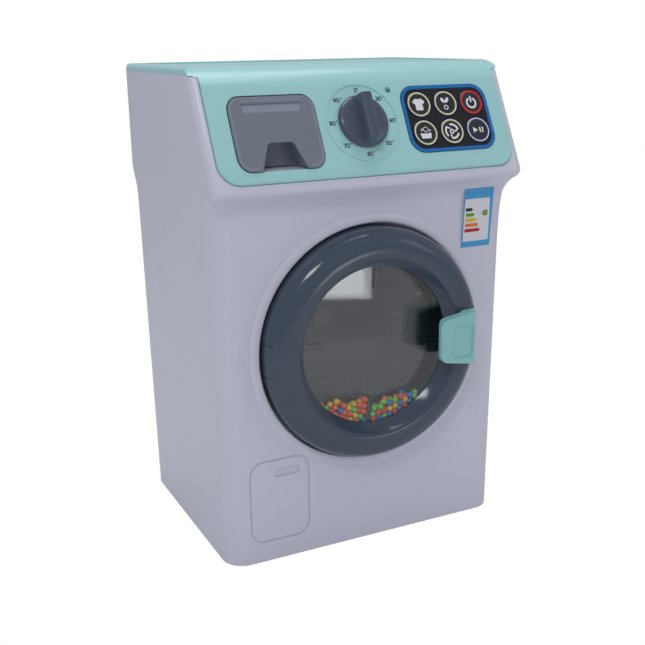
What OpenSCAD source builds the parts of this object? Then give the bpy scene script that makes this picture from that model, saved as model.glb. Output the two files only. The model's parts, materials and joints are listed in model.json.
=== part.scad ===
// Toy washing machine, front loading, with a working door, drum, dial, drawer and six keys.
// Millimetres. X to the right as seen from the front, Y to the back, Z up.
// The origin is on the surface the machine stands on, under the middle of its bounding box.
// Inside every module the front panel lies at y = 0, and at_front() shifts that to its place.

/* [Cabinet] */
// Overall height of the machine
body_h = 280; // [276:1:292]
// Width across the console
body_w = 192; // [190:1:204]
// Depth of the cabinet, front panel to back edge
body_d = 135; // [133:1:160]
// Width of the cabinet at the floor
base_w = 181; // [177:1:188]
// Width of the cabinet where the flat front ends
waist_w = 187; // [184:1:189]
// Wall thickness of the moulded housings
wall = 2.4; // [2:0.1:2.8]
// Radius of the upright front corners
corner_r = 13; // [9:1:16]
// Radius of the upright back edges
back_r = 2; // [1:0.5:3]
// Height of the inset base rim that the machine stands on
base_lift = 1.5; // [1:0.5:3]
// Height of the console above the flat front
console_h = 105; // [103:1:110]
// Radius of the gentle sweep of the front panel
sweep_r = 240; // [200:10:300]
// Lean of the front panel at the end of the gentle sweep
sweep_lean = 7; // [4:1:9]
// Radius of the hollow under the console lip
neck_r = 13; // [11:1:15]
// Lean of the surface where the hollow meets the lip
neck_lean = 66; // [58:1:70]
// Radius of the lip under the console
lip_r = 3.5; // [2.5:0.5:5]
// Edge radius of the white frame round the console
rim_r = 5; // [3:0.5:6]

/* [Console] */
// Lean of the console face, from upright
tilt = 27.5; // [25:0.5:30]
// Width of the coloured console face
fascia_w = 181.4; // [178:0.2:184]
// Radius of the lower corners of the console face
fascia_r = 12; // [8:1:16]
// White rim below the console face
rim_w = 2.6; // [2:0.2:5]
// How far the console face stands proud of its rim
fascia_proud = 1.5; // [1:0.1:2]
// Rounding along the edge of the console face
fascia_edge_r = 1.4; // [0.8:0.1:1.6]
// Radius of the upper front corners of the white rim
rim_top_r = 4; // [2:0.5:4]
// Radius between the console face and the top
top_r = 22; // [18:1:26]
// Depth of the coloured edge along the top of the side walls
lid_edge = 4.4; // [4:0.2:7]
// Rounding along the two sides of the top
lid_side_r = 3; // [2:0.5:4]
// Depth of the shallow tray in the top
lid_step = 0.8; // [0.4:0.2:1]

/* [Door] */
// Distance from the middle of the door up to the end of the flat front
door_drop = 50; // [48:1:53]
// Outer diameter of the door ring
door_d = 136; // [132:1:140]
// Height of the crest of the ring in front of the panel
door_proud = 15; // [13:0.5:17]
// Diameter of the crest of the ring
crest_d = 114; // [110:1:118]
// Diameter of the front edge of the window well
well_d = 101; // [98:1:103]
// Diameter of the clear view through the window
view_d = 92; // [88:1:94]
// Depth of the window behind the front panel, negative is in front
window_y = -7.2; // [-8:0.2:-6]
// Thickness of the window and of the bead pan
glass_t = 1.8; // [1.4:0.1:2]
// Outer diameter of the window and of the bead pan
window_d = 100; // [97:1:101]
// Wall thickness of the door mouldings
door_wall = 2; // [1.6:0.1:2.4]
// Gap round the door ring in its recess
door_gap = 1.3; // [1:0.1:1.8]
// Depth of the recess that the door closes into
recess_depth = 6; // [5.5:0.5:7]
// Width of the raised collar round the door
collar_w = 6; // [4:0.5:8]
// Height of the raised collar
collar_h = 2; // [1:0.5:2.5]
// Diameter of the door's hinge knuckle
knuckle_d = 7.6; // [7:0.2:8]
// Diameter of the steel hinge and handle pins
pin_d = 2; // [1.6:0.1:2.4]
// Height of the hinge knuckle
knuckle_h = 18; // [14:1:20]

/* [Beads] */
// Diameter of one bead
bead_d = 3.7; // [3.4:0.1:3.8]
// Height of the bead heap's surface below the middle of the door
heap_drop = 35.5; // [34:0.5:39]
// Length of the clear ribs that stir the beads
rib_len = 16; // [12:1:20]
// Thickness of the clear ribs
rib_t = 2.2; // [1.6:0.2:2.6]
// Turn of the bead pan in the door
rib_turn = 5; // [0:1:10]

/* [Handle] */
// How far the front of the handle stands before the front panel
handle_front = 22; // [21:0.5:24]
// Place of the handle's free edge, from the middle of the door
handle_x0 = 35; // [33:0.5:38]
// Place of the handle's outer edge
handle_x1 = 58.5; // [57:0.5:59]
// Height of the handle at its outer edge
handle_h = 31; // [28:1:32]
// Height of the handle at its free edge
handle_tip_h = 26; // [22:1:28]
// Thickness of the handle's grip
handle_t = 5.5; // [4.5:0.5:6]
// Reach of the latch nose behind its strike
latch_bite = 1; // [0.6:0.1:1.4]

/* [Dial] */
// Place of the dial across the console, from the middle
dial_x = -3; // [-5:0.5:-1]
// Place of the dial up the console face
dial_s = 30.5; // [29:0.5:32]
// Diameter of the dial's skirt
dial_d = 30; // [26:1:32]
// Height of the dial's grip
dial_h = 11; // [8:1:14]
// Diameter of the dial's shaft
dial_shaft_d = 6; // [5:0.5:7]
// Number of clicks in a full turn
dial_clicks = 8; // [6:1:12]
// Diameter of the raised ring round the numbers
scale_d = 44; // [42:1:45]

/* [Keypad] */
// Place of the keypad across the console
key_x = 52; // [51.5:0.5:54]
// Place of the middle of the keypad up the console face
key_s = 30.3; // [29.5:0.2:31]
// Width of the keypad plate
key_w = 56.7; // [55.5:0.3:58.5]
// Height of the keypad plate
key_h = 39.7; // [38.8:0.3:41.5]
// Corner radius of the keypad plate
key_r = 9; // [6:1:11]
// Spacing of the keys across
key_pitch_x = 17.5; // [17.2:0.1:17.9]
// Spacing of the keys up the face
key_pitch_s = 16.9; // [16.8:0.1:17.2]
// Diameter of a key cap
button_d = 15.4; // [14.6:0.2:15.6]
// Travel of a key
button_travel = 0.8; // [0.6:0.1:1]
// Place of the indicator lamp across the console
led_x = 17.2; // [16.6:0.2:18]
// Place of the indicator lamp up the console face
led_s = 48.4; // [47:0.2:49]
// Diameter of the indicator lamp
led_d = 3; // [2.4:0.2:4]

/* [Drawer] */
// Place of the middle of the drawer across the console
drawer_x = -54.6; // [-56:0.2:-54]
// Width of the drawer front
drawer_w = 49.2; // [46:0.4:50]
// Lower edge of the drawer front, up the console face
drawer_s0 = 6.6; // [6:0.2:8]
// Height of the drawer front along the console face
drawer_len = 41; // [39:0.5:42]
// Corner radius of the drawer front
drawer_r = 7; // [5:0.5:9]
// Length of the tray
tray_len = 42; // [36:1:46]
// Height of the tray
tray_h = 16; // [12:1:17]
// Travel of the drawer
drawer_travel = 30; // [20:1:34]
// Running gap round the drawer
drawer_gap = 0.5; // [0.3:0.1:0.8]

/* [Drum] */
// Outer diameter of the drum
drum_d = 110; // [109:1:114]
// Depth kept for the door in front of the drum and the drive behind it
drive_room = 73; // [71:1:79]
// Wall thickness of the drum
drum_wall = 1.6; // [1.4:0.1:1.8]
// Diameter of the opening into the drum
mouth_d = 101; // [98:0.5:101.5]
// Radius of the rounded lifters in the drum
lifter_r = 12; // [9:1:14]
// Diameter of the holes in the drum
hole_d = 2.6; // [2:0.2:3.4]
// Rows of holes along the drum
hole_rows = 5; // [3:1:6]
// Columns of holes between two lifters
hole_cols = 5; // [3:1:6]
// Diameter of the drum's shaft
shaft_d = 5; // [4:0.5:6]

/* [Drive] */
// Teeth of the drum's gear
drum_teeth = 48; // [48:12:48]
// Teeth of the small idler gear
idler_small_teeth = 12; // [12:12:12]
// Teeth of the large idler gear
idler_large_teeth = 36; // [36:12:36]
// Teeth of the motor's pinion
pinion_teeth = 9; // [9:9:9]
// Module of the drum's gear pair
drum_module = 0.8; // [0.75:0.05:0.85]
// Module of the motor's gear pair
motor_module = 0.6; // [0.55:0.05:0.65]
// Direction of the gear train, from level
train_angle = 60; // [50:1:70]
// Face width of the gears
gear_t = 4; // [3:0.5:4.5]
// Diameter of the motor can
motor_d = 20.4; // [19:0.2:22]
// Length of the motor can
motor_len = 25; // [22:1:27]

/* [Power] */
// Diameter of an AA cell
cell_d = 14.2; // [13.8:0.1:14.4]
// Length of an AA cell
cell_len = 50; // [48:0.5:50.5]
// Number of cells
cell_count = 3; // [2:1:3]
// Height of the middle of the battery bay, as a share of the door's height
bay_share = 0.384; // [0.37:0.002:0.4]
// Diameter of the speaker
speaker_d = 28; // [24:1:32]
// Place of the speaker across the back
speaker_x = 58; // [54:1:60]
// Height of the speaker above the middle of the battery bay
speaker_lift = 0; // [-3:0.5:8]

/* [Hidden] */
$fn = 64;

// Colours as the photograph shows them
white = [0.86, 0.86, 0.91];
mint = [0.62, 0.82, 0.84];
slate = [0.29, 0.34, 0.40];
smoke = [0.36, 0.39, 0.44];
clear = [0.8, 0.86, 0.9, 0.4];
steel = [0.75, 0.76, 0.78];

// Small clearances
fit = 0.3;
seat = 0.8;
press = 0.02;
run = 0.1;
eps = 0.01;
through = 1;

// Heights that follow the height of the body
sweep_z = body_h - console_h;
axis_z = sweep_z - door_drop;
bay_z = bay_share * axis_z;
speaker_z = bay_z + speaker_lift;

// Places along the depth
drum_len = body_d - drive_room;
front_y = handle_front - (handle_front + body_d) / 2;
cover_inset = 1;
cover_y1 = body_d - cover_inset;
cover_y0 = cover_y1 - wall;

// Front profile of the cabinet: [y, z] from the floor to the lower edge of the console face
function arc_step(from, to, i, n) = from + (to - from) * i / n;
sweep_end = [-sweep_r * (1 - cos(sweep_lean)), sweep_z + sweep_r * sin(sweep_lean)];
neck_end = sweep_end + neck_r * [cos(neck_lean) - cos(sweep_lean), sin(neck_lean) - sin(sweep_lean)];
lip_end = neck_end + lip_r * [cos(neck_lean) - cos(tilt), sin(neck_lean) + sin(tilt)];
sweep_steps = 3;
neck_steps = 6;
lip_steps = 5;
sweep_points = [for (i = [0:sweep_steps]) let (a = arc_step(0, sweep_lean, i, sweep_steps))
    [-sweep_r * (1 - cos(a)), sweep_z + sweep_r * sin(a)]];
neck_points = [for (i = [1:neck_steps]) let (a = arc_step(sweep_lean, neck_lean, i, neck_steps))
    sweep_end + neck_r * [cos(a) - cos(sweep_lean), sin(a) - sin(sweep_lean)]];
lip_points = [for (i = [1:lip_steps]) let (a = arc_step(neck_lean, -tilt, i, lip_steps))
    neck_end + lip_r * [cos(neck_lean) - cos(a), sin(neck_lean) - sin(a)]];
split_z = body_h - lid_edge;
function tilt_y(z) = lip_end[0] + (z - lip_end[1]) * tan(tilt);
tilt_points = [[tilt_y(split_z), split_z]];
front_profile = concat([[0, base_lift]], sweep_points, neck_points, lip_points, tilt_points);

// Half width and corner radius of the cabinet at a height
flare_z0 = sweep_z + sweep_r * sin(sweep_lean) - 5;
flare_z1 = lip_end[1] + 3;
function blend(z) = let (t = max(0, min(1, (z - flare_z0) / (flare_z1 - flare_z0)))) t * t * (3 - 2 * t);
function side_w(z) = z < flare_z0
    ? base_w / 2 + (waist_w - base_w) / 2 * z / flare_z0
    : waist_w / 2 + (body_w - waist_w) / 2 * blend(z);
function front_r(z) = corner_r + (rim_r - corner_r) * blend(z);

// Console face: the frame's origin is the middle of the lower edge of the coloured face
fascia_base = lip_end + rim_w * [sin(tilt), cos(tilt)] + fascia_proud * [-cos(tilt), sin(tilt)];
arc_z = body_h - top_r;
arc_y = fascia_base[0] + (top_r + sin(tilt) * (arc_z - fascia_base[1])) / cos(tilt);
function fascia_y(z) = fascia_base[0] + (z - fascia_base[1]) * tan(tilt);
fascia_top_s = (arc_z + top_r * sin(tilt) - fascia_base[1]) / cos(tilt);

// Door
door_r = door_d / 2;
recess_r = door_r + door_gap;
recess_y1 = recess_depth + wall;
window_y1 = window_y + glass_t;
door_rear = 3;
back_ring_t = 2;
back_ring_y1 = door_rear + back_ring_t;
pan_floor_y = back_ring_y1 - back_ring_t - glass_t;
chamber_r = window_d / 2 - glass_t;
hinge_x = -(door_r - knuckle_d / 2 - 0.6);
hinge_y = -knuckle_d / 2 - 1.2;
hinge_boss_h = 5;
hinge_gap = 0.4;
mouth_tube_t = 1.6;
mouth_tube_len = 7.5;

// Handle
handle_pivot_x = 60;
handle_pivot_y = -8;
handle_gap = 0.6;
handle_boss_r = 3;
hook_t = 3;
hook_w = 9;
hook_x0 = handle_pivot_x - hook_t / 2;
hook_tip_y = recess_y1 + 2.6;
strike_x = handle_pivot_x + hook_t / 2 + 0.6;
hook_slot_x0 = 53;
pocket_floor_y = -4.6;
pocket_wall = 1.6;

// Keys
key_flange_d = button_d + 1.1;
key_flange_t = 0.8;
key_plate_t = 1.2;
key_plate_proud = 0.3;
key_cap_proud = 0.5;
key_stem_d = 6;
pocket_depth = key_plate_t - key_plate_proud;
membrane_n = -6.6;
membrane_t = 1;
dome_h = 1;
dome_d = 8;
board_t = 1.6;
board_n = membrane_n - membrane_t - board_t;
board_x0 = -22;
board_x1 = key_x + key_w / 2 + 4;
board_s0 = 6;
board_s1 = 53;
board_hole_x = [board_x0 + 4, board_x1 - 3.2];
board_hole_s = [board_s0 + 4, board_s1 - 2.8];

// Drawer, in elevation
drawer_z0 = fascia_base[1] + drawer_s0 * cos(tilt);
drawer_z1 = fascia_base[1] + (drawer_s0 + drawer_len) * cos(tilt);
drawer_plate_t = 2;
drawer_plate_proud = 0.6;
tray_w = drawer_w - 8;
tray_wall = 1.4;
tray_z0 = drawer_z0 + 2;
tray_y0 = fascia_y(drawer_z0) + 17;
tray_y1 = tray_y0 + tray_len;
housing_wall = 1.6;
rail_gap = 0.3;

// Drum and drive
drum_y0 = recess_y1 + 5.6;
drum_y1 = drum_y0 + drum_len;
drum_hub_d = 16;
drum_hub_len = 3;
hub_depth = 10;
hub_y0 = drum_y1 - drum_wall - hub_depth;
case_y0 = drum_y1 + drum_hub_len + 0.8;
case_t = 2;
gear_gap = 0.8;
gear_y0 = case_y0 + case_t + gear_gap;
gear_y1 = gear_y0 + gear_t;
idler_y1 = gear_y1 + gear_gap + gear_t;
lid_y0 = idler_y1 + gear_gap;
lid_y1 = lid_y0 + case_t;
drum_pitch_r = drum_teeth * drum_module / 2;
idler_small_r = idler_small_teeth * drum_module / 2;
idler_large_r = idler_large_teeth * motor_module / 2;
pinion_r = pinion_teeth * motor_module / 2;
idler_dist = drum_pitch_r + idler_small_r;
motor_dist = idler_dist + idler_large_r + pinion_r;
idler_pos = idler_dist * [cos(train_angle), sin(train_angle)];
motor_pos = motor_dist * [cos(train_angle), sin(train_angle)];
gearbox_gap = 1.4;
post_d = 7;
gearbox_ears = [[-27, 4], [24, -17], [-9, 37]];
motor_shaft_d = 2;

// Battery bay
bay_w = cell_len + 8;
cell_pitch = cell_d + 0.8;
bay_h = cell_count * cell_pitch + 1.4;
bay_depth = cell_d + 2.4;
bay_y0 = cover_y1 - wall - bay_depth;
box_t = 1.6;
bay_door_t = wall;
bay_lip = 3;

module at_front() {
    translate([0, front_y, 0]) children();
}

// A shape drawn in elevation, [x, z], and given depth from y0 to y1
module elevation(y0, y1) {
    translate([0, y1, 0]) rotate([90, 0, 0]) linear_extrude(y1 - y0) children();
}

// A round bar along the depth
module bar_y(r, y0, y1, x = 0, z = 0) {
    translate([x, y1, z]) rotate([90, 0, 0]) cylinder(r = r, h = y1 - y0);
}

// A profile [radius, y] turned about the drum's axis
module turned_y() {
    translate([0, 0, axis_z]) rotate([-90, 0, 0]) rotate_extrude($fn = 96) children();
}

// A shape drawn in side view, [y, z], and given width from x0 to x1
module side_view(x0, x1) {
    translate([x0, 0, 0]) rotate([90, 0, 90]) linear_extrude(x1 - x0) children();
}

// The console face as a working plane: x across, y up the face, z out of it
module on_fascia() {
    translate([0, fascia_base[0], fascia_base[1]]) rotate([90 - tilt, 0, 0]) children();
}

module box(x0, x1, y0, y1, z0, z1) {
    translate([x0, y0, z0]) cube([x1 - x0, y1 - y0, z1 - z0]);
}

// A rectangle with true round corners
module round_rect(x0, x1, y0, y1, r) {
    translate([x0 + r, y0]) square([x1 - x0 - 2 * r, y1 - y0]);
    translate([x0, y0 + r]) square([x1 - x0, y1 - y0 - 2 * r]);
    for (x = [x0 + r, x1 - r], y = [y0 + r, y1 - r]) translate([x, y]) circle(r);
}

// Corner points of a rounded section of the cabinet, counter-clockwise from above
corner_steps = 7;
function corner(cx, cy, r, a0) = [for (i = [0:corner_steps])
    [cx + r * cos(a0 + 90 * i / corner_steps), cy + r * sin(a0 + 90 * i / corner_steps)]];
function section(y0, y1, hw, rf, rb) = concat(
    corner(hw - rf, y0 + rf, rf, -90), corner(hw - rb, y1 - rb, rb, 0),
    corner(-hw + rb, y1 - rb, rb, 90), corner(-hw + rf, y0 + rf, rf, 180));

// A solid through a stack of sections, each given as [z, points]
module loft(stack) {
    n = len(stack[0][1]);
    m = len(stack);
    points = [for (s = stack, p = s[1]) [p[0], p[1], s[0]]];
    sides = [for (k = [0:m - 2], i = [0:n - 1]) let (j = (i + 1) % n)
        each [[k * n + i, (k + 1) * n + i, (k + 1) * n + j], [k * n + i, (k + 1) * n + j, k * n + j]]];
    bottom = [[for (i = [0:n - 1]) i]];
    top = [[for (i = [n - 1:-1:0]) (m - 1) * n + i]];
    polyhedron(points = points, faces = concat(bottom, sides, top));
}

// A coil spring as one unbroken tube, along +Z
spring_sides = 6;
spring_ring = 16;
module coil(r, wire, length, turns) {
    steps = round(turns * spring_ring);
    points = [for (i = [0:steps], k = [0:spring_sides - 1])
        let (a = 360 * i / spring_ring, b = 360 * k / spring_sides, q = r + wire / 2 * cos(b))
        [q * cos(a), q * sin(a), length * i / steps + wire / 2 * sin(b)]];
    function ring(i, k) = i * spring_sides + k % spring_sides;
    sides = [for (i = [0:steps - 1], k = [0:spring_sides - 1])
        each [[ring(i, k), ring(i, k + 1), ring(i + 1, k + 1)], [ring(i, k), ring(i + 1, k + 1), ring(i + 1, k)]]];
    ends = [[for (k = [spring_sides - 1:-1:0]) ring(0, k)], [for (k = [0:spring_sides - 1]) ring(steps, k)]];
    polyhedron(points = points, faces = concat(sides, ends));
}

// Involute gear outline with its tooth 0 pointing along +X
pressure = 25;
addendum = 0.8;
dedendum = 1.1;
backlash = 0.16;
flank_steps = 4;
function involute(rb, r) = let (a = acos(min(1, rb / r))) tan(a) * 180 / PI - a;
function flank(mod, teeth) = let (rp = mod * teeth / 2, rb = rp * cos(pressure),
    ro = rp + addendum * mod, rr = rp - dedendum * mod, r0 = max(rb, rr),
    half = 90 / teeth - backlash / 2 / rp * 180 / PI + involute(rb, rp))
    concat(rr < rb ? [[rr, half]] : [],
        [for (i = [0:flank_steps]) let (r = r0 + (ro - r0) * i / flank_steps) [r, half - involute(rb, r)]]);
module gear_outline(mod, teeth) {
    f = flank(mod, teeth);
    n = len(f);
    polygon([for (t = [0:teeth - 1]) each concat(
        [for (i = [0:n - 1]) let (a = t * 360 / teeth - f[i][1]) f[i][0] * [cos(a), sin(a)]],
        [for (i = [n - 1:-1:0]) let (a = t * 360 / teeth + f[i][1]) f[i][0] * [cos(a), sin(a)]])]);
}

// Cabinet: one moulding with the front, the sides, the floor and the rim round the console face
function panel_y(z) = lookup(z, [for (p = front_profile) [p[1], p[0]]]);

module body_outer() {
    loft([for (p = front_profile) [p[1], section(p[0], body_d, side_w(p[1]), front_r(p[1]), back_r)]]);
}

module body_inner() {
    inner = [for (p = front_profile) [max(p[1], base_lift + wall), p[0], p[1]]];
    loft(concat(
        [for (p = inner) [p[0], section(p[1] + wall, body_d + through, side_w(p[2]) - wall,
            max(front_r(p[2]) - wall, 1), 0.5)]],
        [let (z = split_z + through) [z, section(tilt_y(z) + wall, body_d + through, side_w(z) - wall,
            max(front_r(z) - wall, 1), 0.5)]]));
}

// Collar, recess and mouth of the drum, turned about the drum's axis as [radius, y]
collar_round = 1.2;
module door_recess() {
    r0 = recess_r;
    r1 = recess_r + collar_w;
    m0 = mouth_d / 2;
    m1 = m0 + mouth_tube_t;
    turned_y() difference() {
        union() {
            polygon([[m0, recess_depth], [r0, recess_depth], [r0, -collar_h + collar_round],
                [r0 + collar_round, -collar_h], [r1 - 2 * collar_round, -collar_h],
                [r1, -collar_h + collar_round], [r1, wall / 2], [r0 + wall, wall], [r0 + wall, recess_y1],
                [m1, recess_y1], [m1, recess_y1 + mouth_tube_len], [m0, recess_y1 + mouth_tube_len]]);
            translate([r0 + collar_round, -collar_h + collar_round]) circle(collar_round, $fn = 32);
        }
        translate([0, -30]) square([m0, 60]);
    }
}

boss_r = 4.2;
screw_r = 1.4;
case_boss_len = 26;
case_screw_low = 22;
case_screw_drop = 48;
case_screw_z = [case_screw_low, (case_screw_low + body_h - case_screw_drop) / 2 - 5, body_h - case_screw_drop];
function case_screw_x(z) = side_w(z) - wall - boss_r + 1;

// Finger slot and outline of the drain filter, moulded into the front
flap_x0 = -77.5;
flap_x1 = -40;
flap_top = axis_z - 60.6;
flap_r = 9;
groove = 1;
groove_depth = 0.7;
slot_x0 = -62.2;
slot_x1 = -45.9;
slot_z = axis_z - 69.5;
slot_r = 2.6;
module filter_marks() {
    elevation(-through, groove_depth) intersection() {
        difference() {
            round_rect(flap_x0, flap_x1, base_lift + 12, flap_top, flap_r);
            round_rect(flap_x0 + groove, flap_x1 - groove, base_lift + 12 + groove, flap_top - groove,
                flap_r - groove);
        }
        translate([flap_x0 - 1, base_lift + 10]) square([flap_x1 - flap_x0 + 2, flap_top - base_lift]);
    }
    elevation(-through, wall * 0.6) round_rect(slot_x0, slot_x1, slot_z - slot_r, slot_z + slot_r, slot_r - eps);
}

hook_slot_h = hook_w + 1.6;
lug_gap = 0.3;
lug_w = knuckle_d;
module cabinet() at_front() color(white) {
    base_inset = 3;
    difference() {
        union() {
            difference() {
                body_outer();
                body_inner();
                bar_y(recess_r, -20, recess_y1, z = axis_z);
            }
            door_recess();
            linear_extrude(base_lift + wall) round_rect(-base_w / 2 + base_inset, base_w / 2 - base_inset,
                base_inset, body_d - base_inset, max(corner_r - base_inset, 4));
            for (s = [-1, 1], z = case_screw_z)
                bar_y(boss_r, cover_y0 - case_boss_len, cover_y0, s * case_screw_x(z), z);
        }
        console_window();
        elevation(-body_d / 4, arc_y) rim_corners(fit);
        filter_marks();
        for (s = [-1, 1], z = case_screw_z)
            bar_y(screw_r, cover_y0 - case_boss_len + 6, cover_y0 + through, s * case_screw_x(z), z);
        box(hook_slot_x0, strike_x, recess_depth - through, recess_y1 + through,
            axis_z - hook_slot_h / 2, axis_z + hook_slot_h / 2);
        box(hinge_x - lug_w / 2 - lug_gap, hinge_x + lug_w / 2 + lug_gap, recess_depth - through,
            recess_y1 + through, axis_z - knuckle_h / 2 - lug_gap, axis_z + knuckle_h / 2 + lug_gap);
        for (s = [-1, 1])
            bar_y(screw_r, recess_depth + 0.8, recess_y1 + through, bracket_screw_x, axis_z + s * bracket_screw_z);
    }
}

// The opening in the rim that the console face drops into
module console_window() {
    on_fascia() translate([0, 0, -16]) linear_extrude(40)
        round_rect(-fascia_w / 2 - fit, fascia_w / 2 + fit, -fit, face_len, fascia_r + fit);
}

// Console cover: face, rounded edge and top in one moulding
cover_reach = 30;
module cover_profile(inset) {
    polygon([
        fascia_base + inset * [cos(tilt), -sin(tilt)] - cover_reach * [sin(tilt), cos(tilt)],
        [arc_y, arc_z] + (top_r - inset) * [-cos(tilt), sin(tilt)],
        [arc_y, arc_z],
        [arc_y, body_h - inset],
        [body_d - inset, body_h - inset],
        [body_d - inset, fascia_base[1] - cover_reach],
        [arc_y, fascia_base[1] - cover_reach],
    ]);
    translate([arc_y, arc_z]) circle(top_r - inset, $fn = 128);
}

lid_w = body_w - 1;
module lid_outline(inset) {
    difference() {
        round_rect(-lid_w / 2 + inset, lid_w / 2 - inset, split_z - cover_reach, body_h - inset,
            max(lid_side_r - inset, 0.6));
        translate([-body_w, split_z - 2 * cover_reach])
            square([2 * body_w, 2 * cover_reach + (inset > 0 ? -through : 0)]);
    }
}

// The face between the rims, below the split line
face_len = (body_h - fascia_base[1]) / cos(tilt) + 2 * top_r;
module face_outline(inset) {
    round_rect(-fascia_w / 2 + inset, fascia_w / 2 - inset, inset, face_len, fascia_r - inset);
}

// The block of the face with its rounded edge, in steps round a quarter circle
module face_block() {
    edge = [for (a = [0, 30, 60, 90]) fascia_edge_r * [1 - cos(a), sin(a) - 1]];
    translate([0, 0, -wall - fascia_hang]) linear_extrude(wall + fascia_hang - fascia_edge_r) face_outline(0);
    for (i = [0:len(edge) - 2]) hull() {
        translate([0, 0, edge[i][1]]) linear_extrude(eps) face_outline(edge[i][0]);
        translate([0, 0, edge[i + 1][1] - eps]) linear_extrude(eps) face_outline(edge[i + 1][0]);
    }
}

// The hollow corner between the face and the lid, filled on the cover and cut from the rim
module rim_corners(grow) {
    r = rim_top_r - grow;
    for (s = [-1, 1]) difference() {
        translate([s * (fascia_w / 2 + rim_top_r / 2 - seat / 2), split_z - rim_top_r / 2 + seat / 2])
            square([rim_top_r + seat, rim_top_r + seat], center = true);
        translate([s * (fascia_w / 2 + rim_top_r), split_z - rim_top_r]) circle(r);
        translate([s * (fascia_w / 2 + rim_top_r), split_z - rim_top_r - seat]) square([2 * r, 2 * r], center = true);
    }
}

module cover_outer() {
    intersection() {
        side_view(-body_w / 2, body_w / 2) cover_profile(0);
        union() {
            elevation(-body_d / 4, body_d) lid_outline(0);
            on_fascia() face_block();
            elevation(-body_d / 4, arc_y) rim_corners(0);
        }
        box(-body_w, body_w, -body_d / 4, body_d, fascia_base[1] - 8, body_h);
    }
}

fascia_hang = 5.6;
module cover_inner() {
    intersection() {
        side_view(-body_w / 2, body_w / 2) cover_profile(wall);
        union() {
            elevation(-body_d / 4, body_d - wall) lid_outline(wall);
            on_fascia() translate([0, 0, -face_len]) linear_extrude(face_len - wall) face_outline(wall);
        }
    }
}

board_post_r = 3.2;
tray_edge = 7;
module console_cover() at_front() color(mint) difference() {
    union() {
        difference() {
            cover_outer();
            cover_inner();
        }
        on_fascia() for (x = board_hole_x, s = board_hole_s)
            translate([x, s, board_n + board_t]) cylinder(r = board_post_r, h = seat - wall - board_n - board_t);
        on_fascia() translate([dial_x, dial_s, -seat]) difference() {
            cylinder(r = scale_d / 2 + 0.6, h = seat + 0.35, $fn = 96);
            translate([0, 0, -1]) cylinder(r = scale_d / 2 - 0.6, h = 3, $fn = 96);
        }
    }
    elevation(-40, 40) drawer_outline(drawer_gap);
    on_fascia() {
        translate([dial_x, dial_s, -wall - 1]) cylinder(r = dial_shaft_d / 2 + fit, h = wall + 2);
        translate([led_x, led_s, -wall - 1]) cylinder(r = led_d / 2 + run, h = wall + 2, $fn = 32);
        translate([0, 0, -pocket_depth]) linear_extrude(5) key_outline(0.15);
        for (k = [0:5]) key_at(k) translate([0, 0, -wall - 1]) cylinder(r = key_flange_d / 2 + fit, h = wall + 2);
        for (x = board_hole_x, s = board_hole_s)
            translate([x, s, board_n + board_t - eps]) cylinder(r = screw_r - 0.4, h = 4);
    }
    translate([0, 0, body_h - lid_step]) linear_extrude(5)
        round_rect(-lid_w / 2 + tray_edge, lid_w / 2 - tray_edge, arc_y + 2, body_d - tray_edge, 6);
}

// Keypad: six keys in two rows
module key_outline(grow) {
    round_rect(key_x - key_w / 2 - grow, key_x + key_w / 2 + grow, key_s - key_h / 2 - grow,
        key_s + key_h / 2 + grow, key_r + grow);
}

function key_pos(k) = [key_x + (k % 3 - 1) * key_pitch_x, key_s + (k < 3 ? 0.5 : -0.5) * key_pitch_s];
module key_at(k) {
    translate(key_pos(k)) children();
}

module keypad_plate() at_front() color([0.08, 0.09, 0.11]) on_fascia() difference() {
    translate([0, 0, -pocket_depth]) linear_extrude(key_plate_t) key_outline(0);
    for (k = [0:5]) key_at(k) translate([0, 0, -3]) cylinder(r = button_d / 2 + 0.25, h = 6);
}

// One key: a dished cap, a flange that keeps it in and a stem over its dome
module key(k) at_front() color([0.16, 0.18, 0.2]) on_fascia() key_at(k) {
    flange_top = -pocket_depth - run;
    stem_end = membrane_n + dome_h + button_travel + 0.1;
    difference() {
        union() {
            translate([0, 0, flange_top - 0.5]) cylinder(r = button_d / 2, h = key_plate_proud + key_cap_proud - flange_top);
            translate([0, 0, key_plate_proud + key_cap_proud - 0.5]) cylinder(r1 = button_d / 2, r2 = button_d / 2 - 0.5, h = 0.5);
            translate([0, 0, flange_top - key_flange_t]) cylinder(r = key_flange_d / 2, h = key_flange_t);
            translate([0, 0, stem_end]) cylinder(r = key_stem_d / 2, h = flange_top - stem_end);
        }
        translate([0, 0, key_plate_proud + key_cap_proud + 59.6]) sphere(r = 60, $fn = 96);
    }
}

module key_shirt() key(0);
module key_leaf() key(1);
module key_power() key(2);
module key_basket() key(3);
module key_spin() key(4);
module key_play() key(5);

module key_membrane() at_front() color([0.75, 0.77, 0.78]) on_fascia() {
    translate([0, 0, membrane_n - membrane_t]) linear_extrude(membrane_t)
        round_rect(key_x - key_w / 2 + 1, key_x + key_w / 2 - 1, key_s - key_h / 2 + 3, key_s + key_h / 2 - 3, 2);
    for (k = [0:5]) key_at(k) translate([0, 0, membrane_n - eps]) cylinder(r1 = dome_d / 2, r2 = dome_d / 2 - 1.2, h = dome_h + eps);
}

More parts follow.
